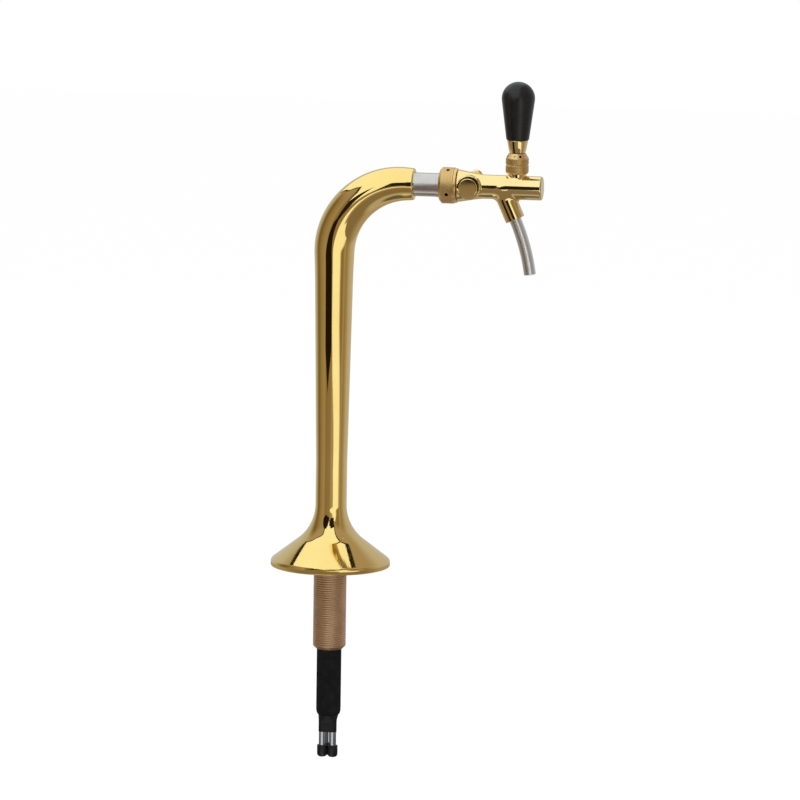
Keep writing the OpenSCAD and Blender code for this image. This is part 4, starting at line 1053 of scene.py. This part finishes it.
def makeSpoutTube():
    s = spoutTube
    turn, edge = math.radians(s["turn"]), s["edge"]
    end = s["bendStart"] + s["bendRadius"] * turn
    inner = s["radius"] - s["wall"]
    profile = (linePoints((s["radius"], s["from"]), (s["radius"], end - edge), 40)
               + [(s["radius"] - 0.3 * edge, end - 0.3 * edge), (s["radius"] - edge, end),
                  (inner + edge, end)]
               + linePoints((inner, end - edge), (inner, s["from"]), 40))
    mesh = grow(turnedMesh("spoutPipe", profile, s["sides"]), bendTree, spoutSteel,
                {"Bend Start": s["bendStart"], "Bend Radius": s["bendRadius"], "Bend Angle": turn})
    addPiece("spoutPipe", mesh, onSpoutAxis, spoutSteel, "spout_tube", 40)


# Side plug, gland and flow lever, on the cross boss's axis

plug = {"radius": 9.5, "face": -20.5, "foot": -15.5, "edge": 0.7, "faceRing": 0.3, "thread": 6.95,
        "sealFrom": -14.5, "sealTo": -13.06, "sealGroove": 5.7, "end": -9.9, "sides": 128}
gland = {"radius": 9.5, "from": 9.9, "foot": 15.5, "face": 18.3, "bore": 3.55, "thread": 6.95, "edge": 0.6,
         "sides": 128}


def makePlugAndGland():
    p = plug
    # The ring just inside the rounded edge keeps the disc's shading flat
    disc = [(0, p["face"]), (p["radius"] - p["edge"] - p["faceRing"], p["face"])]
    disc += arcPoints(p["radius"] - p["edge"], p["face"] + p["edge"], p["edge"], -90, 0, 8)
    disc += [(p["radius"], p["foot"]), (p["thread"], p["foot"]), (p["thread"], p["sealFrom"]),
             (p["sealGroove"], p["sealFrom"]), (p["sealGroove"], p["sealTo"]), (p["thread"], p["sealTo"]),
             (p["thread"], p["end"]), (0, p["end"])]
    addTurned("sidePlug", disc, p["sides"], onBossAxis, goldPlate, "side_plug")
    g = gland
    ring = [(g["bore"], g["from"]), (g["thread"], g["from"]), (g["thread"], g["foot"]),
            (g["radius"], g["foot"])]
    ring += arcPoints(g["radius"] - g["edge"], g["face"] - g["edge"], g["edge"], 0, 90, 6)
    ring += [(g["bore"], g["face"])]
    addTurned("spindleGland", ring, g["sides"], onBossAxis, goldPlate, "spindle_gland")


flowLever = {"hub": 8.0, "end": 6.7, "throw": 7.8, "lean": 16.0, "near": 18.6, "far": 23.6, "edge": 1.6,
             "steps": 40, "edgeSteps": 8}


def makeFlowLever():
    # A plate with two round ends and well rounded edges
    f = flowLever
    slant = math.asin((f["hub"] - f["end"]) / f["throw"])

    def layer(a, face, side):
        inset, y = f["edge"] * (1 - math.sin(a)), face + side * f["edge"] * (1 - math.cos(a))
        hub, end = f["hub"] - inset, f["end"] - inset
        rim = [(hub * math.cos(t), y, hub * math.sin(t))
               for t in np.linspace(math.pi - slant, 2 * math.pi + slant, f["steps"])]
        return rim + [(end * math.cos(t), y, f["throw"] + end * math.sin(t))
                      for t in np.linspace(slant, math.pi - slant, f["steps"])]

    layers = [layer(a, f["near"], 1) for a in degreeSteps(0, 90, f["edgeSteps"])]
    layers += [layer(a, f["far"], -1) for a in degreeSteps(90, 0, f["edgeSteps"])]
    points = [point for rim in layers for point in rim]
    count = len(layers[0])
    faces = gridFaces(len(layers), count, closeColumns=True)
    faces += [tuple(range(count)), tuple(range(len(points) - count, len(points)))]
    addPiece("flowLever", newMesh("flowLever", points, faces), atBoss @ tilt(f["lean"], "Y"), goldPlate,
             "flow_lever")


makeSpoutTube()
makePlugAndGland()
makeFlowLever()
print("flow control made")

# Collars, ferrule and knob, on the handle's axis

collars = {"radius": 11.45, "bottom": 13.8, "joint": 23.0, "shoulder": 29.2, "top": 34.4, "topRadius": 8.5,
           "bore": 8.65, "chamfer": 1.5, "chamferRise": 2.1, "groove": 0.75, "lipLow": 5.8, "lipHigh": 6.24,
           "lipFrom": 30.4, "knurls": 60, "knurlDepth": 0.14, "runOut": 0.2, "sides": 300}
collarHoles = {"count": 4, "angle": -64.5, "radius": 1.2, "depth": 1.4}
screwHole = {"count": 1, "angle": -97.5, "radius": 1.05, "depth": 1.5}


def makeCollars():
    c = collars
    wide, joint, shoulder, top = c["radius"], c["joint"], c["shoulder"], c["top"]
    knurl = {"Count": c["knurls"], "Rise": 2 * math.pi * wide / c["knurls"], "Depth": c["knurlDepth"],
             "Soft": 0.4, "Core": 9.6}

    def knurled(name, profile, start, end):
        mesh = turnedMesh(name, profile, c["sides"])
        return grow(mesh, knurlTree, satinGold, dict(knurl, From=start, To=end))

    foot, end = c["bottom"] + c["chamferRise"], joint - c["groove"]
    lower = ([(c["bore"], c["bottom"])] + linePoints((wide - c["chamfer"], c["bottom"]), (wide, foot), 3)[:-1]
             + linePoints((wide, foot), (wide, end), 34) + [(wide - c["groove"], joint), (c["bore"], joint)])
    mesh = knurled("lowerCollar", lower, foot - c["runOut"], end + c["runOut"])
    addPiece("lowerCollar", mesh, onHandleAxis, satinGold, "lower_collar", 38)
    foot = joint + c["groove"]
    upper = ([(c["bore"], joint), (wide - c["groove"], joint)]
             + linePoints((wide, foot), (wide, shoulder), 26)
             + linePoints((wide, shoulder), (c["topRadius"], top), 4)[1:]
             + [(c["lipHigh"], top), (c["lipLow"], c["lipFrom"]), (c["bore"], c["lipFrom"])])
    mesh = knurled("upperCollar", upper, foot - c["runOut"], shoulder)
    for hole in (collarHoles, screwHole):
        mesh = grow(mesh, holesTree, satinGold,
                    {"Reach": (wide + c["topRadius"]) / 2, "Height": (top + shoulder) / 2,
                     "Tilt": math.atan2(wide - c["topRadius"], top - shoulder), "Count": hole["count"],
                     "Start Angle": math.radians(hole["angle"]), "Hole Radius": hole["radius"],
                     "Depth": hole["depth"]})
    addPiece("upperCollar", mesh, onHandleAxis, satinGold, "upper_collar", 38)


ferrule = {"rim": 8.05, "top": 10.45, "bottom": 34.5, "height": 47.4, "bore": 4.05, "hollow": 12.0,
           "pivot": 26.3, "waistOut": 0.48, "waistUp": 0.43, "edge": 0.4, "sides": 128}


def makeFerrule():
    f = ferrule
    waist = (f["rim"] + f["waistOut"] * (f["top"] - f["rim"]),
             f["bottom"] + f["waistUp"] * (f["height"] - f["bottom"]))
    # The hollow is part of a sphere about the lever's pivot
    rimRise = math.sqrt(f["hollow"] ** 2 - f["rim"] ** 2)
    start = math.degrees(math.asin(rimRise / f["hollow"]))
    end = math.degrees(math.acos(f["bore"] / f["hollow"]))
    hollow = arcPoints(0, f["pivot"], f["hollow"], start, end, 14)
    profile = (hollow[::-1] + linePoints((f["rim"], f["pivot"] + rimRise), waist, 6)[1:]
               + linePoints(waist, (f["top"], f["height"] - f["edge"]), 8)[1:]
               + [(f["top"] - 0.3 * f["edge"], f["height"] - 0.3 * f["edge"]),
                  (f["top"] - f["edge"], f["height"]), (f["bore"], f["height"])])
    addTurned("ferruleCone", profile, f["sides"], onHandleAxis, goldPlate, "ferrule")


knob = {"foot": 11.4, "head": 16.55, "bottom": 47.6, "length": 57.8, "round": 1.2, "bore": 6.05,
        "boreTop": 66.9, "sides": 128}


def makeKnob():
    k = knob
    headZ = k["bottom"] + k["length"] - k["head"]
    footZ = k["bottom"] + k["round"]
    reach = math.hypot(k["foot"], headZ - footZ)
    side = math.degrees(math.asin(k["head"] / reach) - math.atan2(k["foot"], headZ - footZ))
    low = arcPoints(k["foot"] - k["round"], footZ, k["round"], -90, -side, 8)
    high = arcPoints(0, headZ, k["head"], -side, 90, 48)
    outer = ([(k["bore"], k["bottom"])] + low + linePoints(low[-1], high[0], 12)[1:-1] + high[:-1]
             + [(0, headZ + k["head"])])
    inner = [(0, k["boreTop"]), (k["bore"], k["boreTop"]), (k["bore"], k["bottom"])]
    # Outside and bore both meet the axis, so they are turned apart and joined at the bore's edge
    mesh = turnedMesh("knobBall", outer, k["sides"])
    bore = turnedMesh("knobBore", inner, k["sides"])
    joined = bmesh.new()
    joined.from_mesh(mesh)
    joined.from_mesh(bore)
    joined.to_mesh(mesh)
    joined.free()
    bpy.data.meshes.remove(bore)
    addPiece("knobBall", mesh, onHandleAxis, knobPlastic, "knob")


makeCollars()
makeFerrule()
makeKnob()
print("handle made")

# Camera

view = {"target": (0.0686, 0.0, 0.1708), "azimuth": 9.5, "elevation": 8.75, "roll": 0.86, "distance": 6.0,
        "lens": 270.0, "sensor": 36.0, "near": 0.1, "far": 60.0}


def aim(made, direction):
    made.rotation_mode = "QUATERNION"
    made.rotation_quaternion = direction.to_track_quat("-Z", "Y")


def makeCamera():
    camera = newObject("camera", bpy.data.cameras.new("camera"))
    camera.data.lens = view["lens"]
    camera.data.sensor_width = view["sensor"]
    camera.data.clip_start, camera.data.clip_end = view["near"], view["far"]
    a, e = math.radians(view["azimuth"]), math.radians(view["elevation"])
    towards = Vector((math.sin(a) * math.cos(e), -math.cos(a) * math.cos(e), math.sin(e)))
    camera.location = Vector(view["target"]) + towards * view["distance"]
    aim(camera, -towards)
    camera.rotation_quaternion = camera.rotation_quaternion @ tilt(view["roll"], "Z").to_quaternion()
    bpy.context.scene.camera = camera


# Floor, world, lamps and the studio that only the metal sees

floor = {"height": -0.262, "size": 14.0, "tone": 0.93, "glow": 1.08, "glowShare": 0.85}
world = {"diffuse": 0.52, "background": 1.0}
white = rgb(1, 1, 1)


def blankGraph(owner):
    # The emptied tree of a new material or world
    owner.use_nodes = True
    owner.node_tree.nodes.clear()
    return Graph(owner.node_tree)


def backgroundRays(graph):
    # 1 for camera, glossy and transmission rays
    path = graph.node("ShaderNodeLightPath")
    return path.out("Is Camera Ray").most(path.out("Is Glossy Ray")).most(path.out("Is Transmission Ray"))


def emission(graph, colour, strength=1.0):
    return graph.node("ShaderNodeEmission", None, {"Color": colour, "Strength": strength})


def makeFloor():
    material = bpy.data.materials.new("floorPaper")
    graph = blankGraph(material)
    tone = floor["tone"]
    paper = graph.node("ShaderNodeBsdfDiffuse", None, {"Color": rgb(tone, tone, tone)})
    glow = emission(graph, white, floor["glow"])
    share = backgroundRays(graph) * floor["glowShare"]
    mixed = graph.node("ShaderNodeMixShader", None, {0: share, 1: paper, 2: glow})
    graph.node("ShaderNodeOutputMaterial", None, {"Surface": mixed})
    half, height = floor["size"] / 2, floor["height"]
    corners = [(-half, -half, height), (half, -half, height), (half, half, height), (-half, half, height)]
    mesh = newMesh("floor", corners, [(0, 1, 2, 3)])
    mesh.materials.append(material)
    newObject("floor", mesh)


def makeWorld():
    made = bpy.data.worlds.new("studio")
    bpy.context.scene.world = made
    graph = blankGraph(made)
    strength = world["diffuse"] + backgroundRays(graph) * (world["background"] - world["diffuse"])
    shade = graph.node("ShaderNodeBackground", None, {"Color": white, "Strength": strength})
    graph.node("ShaderNodeOutputWorld", None, {"Surface": shade})


lampTarget = Vector((0.05, 0, 0.15))
lamps = {"key": {"from": (1.1, -1.5, 1.5), "size": 1.3, "power": 17.0},
         "fill": {"from": (-1.5, -1.3, 0.9), "size": 1.6, "power": 8.0},
         "top": {"from": (0.1, -0.2, 2.0), "size": 1.5, "power": 9.0}}


def makeLamps():
    for name, lamp in lamps.items():
        light = bpy.data.lights.new(name, "AREA")
        light.size = lamp["size"]
        light.energy = lamp["power"]
        made = newObject(name, light)
        made.location = lamp["from"]
        aim(made, lampTarget - made.location)
        made.visible_camera = False
        made.visible_glossy = False


def addCard(name, mesh, surface):
    # Something round the object that only reflections show
    mesh.materials.append(surface)
    made = newObject(name, mesh)
    made.visible_camera = False
    made.visible_diffuse = False
    made.visible_shadow = False
    made.visible_transmission = False


def azimuthPoint(azimuth, distance, height):
    # Azimuth counts from the camera's side, towards the tap's end of the picture
    a = math.radians(view["azimuth"] + azimuth)
    return (distance * math.sin(a), -distance * math.cos(a), height)


# Tones of the room round the object, by azimuth from the camera's side
roomTones = [(-180, (0.62, 0.62, 0.66)), (-150, (0.57, 0.58, 0.64)), (-132, (0.52, 0.52, 0.58)),
             (-122, (0.40, 0.37, 0.36)), (-108, (0.20, 0.15, 0.08)), (-98, (0.20, 0.15, 0.07)),
             (-84, (0.30, 0.23, 0.14)), (-60, (0.38, 0.30, 0.23)), (-52, (0.36, 0.31, 0.27)),
             (-46, (0.27, 0.20, 0.13)), (-12, (0.30, 0.23, 0.17)), (0, (0.42, 0.36, 0.28)),
             (40, (0.30, 0.22, 0.12)), (52, (0.27, 0.19, 0.09)), (64, (0.42, 0.34, 0.28)),
             (74, (0.31, 0.24, 0.17)), (90, (0.40, 0.34, 0.30)), (106, (0.52, 0.49, 0.56)),
             (135, (0.55, 0.55, 0.64)), (165, (0.57, 0.55, 0.55)), (180, (0.62, 0.62, 0.66))]
# Angles are radians from the camera's side, except the roof's, which is degrees above the middle
room = {"radius": 3.4, "middle": 0.17, "table": -0.205, "rings": (0, 0.2, 0.4, 0.8, 1.6), "sides": 96,
        "roof": rgb(0.43, 0.36, 0.31), "roofFrom": (28.0, 48.0),
        "frontTable": rgb(0.25, 0.195, 0.15), "backTable": rgb(0.42, 0.37, 0.33), "backFrom": (1.05, 2.1),
        "nearTable": rgb(0.50, 0.45, 0.46), "nearTo": (0.32, 0.48), "tableTo": (1.1, 1.6),
        "footLight": rgb(1.0, 1.0, 0.98), "footShade": rgb(0.14, 0.135, 0.13), "footTo": (0.17, 0.24),
        "lightFrom": (-0.95, -0.65), "lightTo": (0.05, 0.4)}


def makeRoomSurface():
    # Glows in the room's tones: by azimuth on the wall, then the roof, and the table underneath
    surface = bpy.data.materials.new("roomGlow")
    graph = blankGraph(surface)
    x, y, z = graph.axes(graph.node("ShaderNodeTexCoord").out("Object"))
    cosine, sine = math.cos(math.radians(view["azimuth"])), math.sin(math.radians(view["azimuth"]))
    azimuth = x.maths("ARCTAN2", x * cosine + y * sine, x * sine - y * cosine)
    reach = (x * x + y * y) ** 0.5
    lift = x.maths("ARCTAN2", z - room["middle"], reach) * (180 / math.pi)
    stops = [((angle + 180) / 360, rgb(*tone)) for angle, tone in roomTones]
    wall = graph.node("ShaderNodeValToRGB", {"stops": stops}, {0: azimuth / (2 * math.pi) + 0.5})
    behind = graph.eased(azimuth.maths("ABSOLUTE", azimuth), *room["backFrom"])
    table = graph.blend(behind, room["frontTable"], room["backTable"])
    table = graph.blend(graph.eased(reach, *room["nearTo"]), room["nearTable"], table)
    # A light patch on the table, close to the foot, shines in the bare tubes
    lit = graph.eased(azimuth, *room["lightFrom"]) * (1 - graph.eased(azimuth, *room["lightTo"]))
    foot = graph.blend(lit, room["footShade"], room["footLight"])
    table = graph.blend(graph.eased(reach, *room["footTo"]), foot, table)
    low = graph.blend(graph.eased(reach, *room["tableTo"]), table, wall)
    tone = graph.blend(graph.eased(lift, *room["roofFrom"]), low, room["roof"])
    graph.node("ShaderNodeOutputMaterial", None, {"Surface": emission(graph, tone)})
    return surface


def makeRoom():
    # A dome that stands on a round table just below the object
    radius, middle, foot = room["radius"], room["middle"], room["table"]
    start = math.asin((foot - middle) / radius)
    dome = [(radius * math.cos(a), middle + radius * math.sin(a))
            for a in np.linspace(start, math.pi / 2, 33)]
    profile = [(reach, foot) for reach in room["rings"]] + dome[:-1] + [(0, middle + radius)]
    addCard("room", turnedMesh("room", profile, room["sides"]), makeRoomSurface())


def cardSurface(name, tone, soft):
    # Glows evenly and fades out towards its left and right edges
    surface = bpy.data.materials.new(name)
    graph = blankGraph(surface)
    glow = emission(graph, rgb(*tone))
    if any(soft):
        across = graph.attribute("across")
        shown = 1.0
        for value, width in zip((across, 1 - across), soft):
            if width:
                shown = graph.eased(value, 0.0, width) * shown
        clear = graph.node("ShaderNodeBsdfTransparent")
        glow = graph.node("ShaderNodeMixShader", None, {0: shown, 1: clear, 2: glow})
    graph.node("ShaderNodeOutputMaterial", None, {"Surface": glow})
    return surface


def rowCard(name, rows, tone, soft=(0.0, 0.0), distance=None):
    # Rows run from edge to edge: (height, left, right azimuths) at a distance, or (y, z, left x, right x)
    steps = 8
    shares = [k / steps for k in range(steps + 1)]
    points = []
    for row in rows:
        for share in shares:
            place = row[-2] + (row[-1] - row[-2]) * share
            points.append(azimuthPoint(place, distance, row[0]) if distance else (place, row[0], row[1]))
    mesh = newMesh(name, points, gridFaces(len(rows), steps + 1))
    mesh.attributes.new("across", "FLOAT", "POINT").data.foreach_set("value", shares * len(rows))
    addCard(name, mesh, cardSurface(name, tone, soft))


# The tall soft panel on the right and the dark thing to its left
sidePanel = {"tone": (1.10, 1.13, 1.10), "soft": (0.0, 0.25), "distance": 1.2,
             "rows": [(-0.45, 22, 62), (-0.20, 18, 62), (-0.085, 10, 60), (-0.025, -2, 54), (0.035, -8, 44),
                      (0.115, -8, 42), (0.175, -1, 42), (0.22, 6, 42), (0.30, 11, 40), (0.45, 12, 36),
                      (0.65, 12, 32)]}
darkCard = {"tone": (0.015, 0.010, 0.005), "soft": (0.06, 0.06), "distance": 0.35,
            "rows": [(0.116, -34, -32), (0.135, -42, -24), (0.161, -51, -9), (0.246, -51, -12),
                     (0.31, -46, -21), (0.38, -42, -27)]}
# The panel over the object, bent down in front, in a black frame
panel = {"tone": (1.12, 1.16, 1.16), "frameTone": (0.02, 0.015, 0.01), "frame": 0.05, "frameRise": 0.01,
         "rows": [(-0.60, 0.543, -0.30, 0.34), (-0.52, 0.64, -0.27, 0.31), (-0.35, 0.78, -0.30, 0.29),
                  (-0.20, 0.84, -0.43, 0.28), (-0.10, 0.86, -0.52, 0.28), (0.0, 0.872, -0.57, 0.285),
                  (0.10, 0.88, -0.60, 0.29), (0.20, 0.88, -0.62, 0.31), (0.35, 0.87, -0.665, 0.345),
                  (0.45, 0.86, -0.70, 0.36), (0.60, 0.85, -0.76, 0.38)]}
# What hangs below the panel's front edge: three black strips, and a bright one between two of them
strips = {"leftStrip": [(-0.60, 0.338, -0.30, -0.09), (-0.60, 0.543, -0.30, -0.09)],
          "lowPanel": [(-0.60, 0.35, -0.09, 0.0), (-0.60, 0.543, -0.09, 0.0)],
          "discStrip": [(-0.60, 0.324, 0.0, 0.070), (-0.60, 0.543, 0.0, 0.070)],
          "rightStrip": [(-0.59, 0.263, 0.070, 0.34), (-0.59, 0.53, 0.070, 0.34),
                         (-0.50, 0.560, 0.070, 0.34)]}


def makeStudio():
    makeRoom()
    rowCard("sidePanel", **sidePanel)
    rowCard("darkCard", **darkCard)
    edge, lift, black = panel["frame"], panel["frameRise"], panel["frameTone"]
    rowCard("topPanel", panel["rows"], panel["tone"])
    around = [(y, z + lift, left - edge, right + edge) for y, z, left, right in panel["rows"]]
    rowCard("topFrame", around, black)
    for name, rows in strips.items():
        rowCard(name, rows, panel["tone"] if name == "lowPanel" else black)


makeCamera()
makeFloor()
makeWorld()
makeLamps()
makeStudio()
bpy.context.scene.view_settings.view_transform = "Standard"
print("stage made")
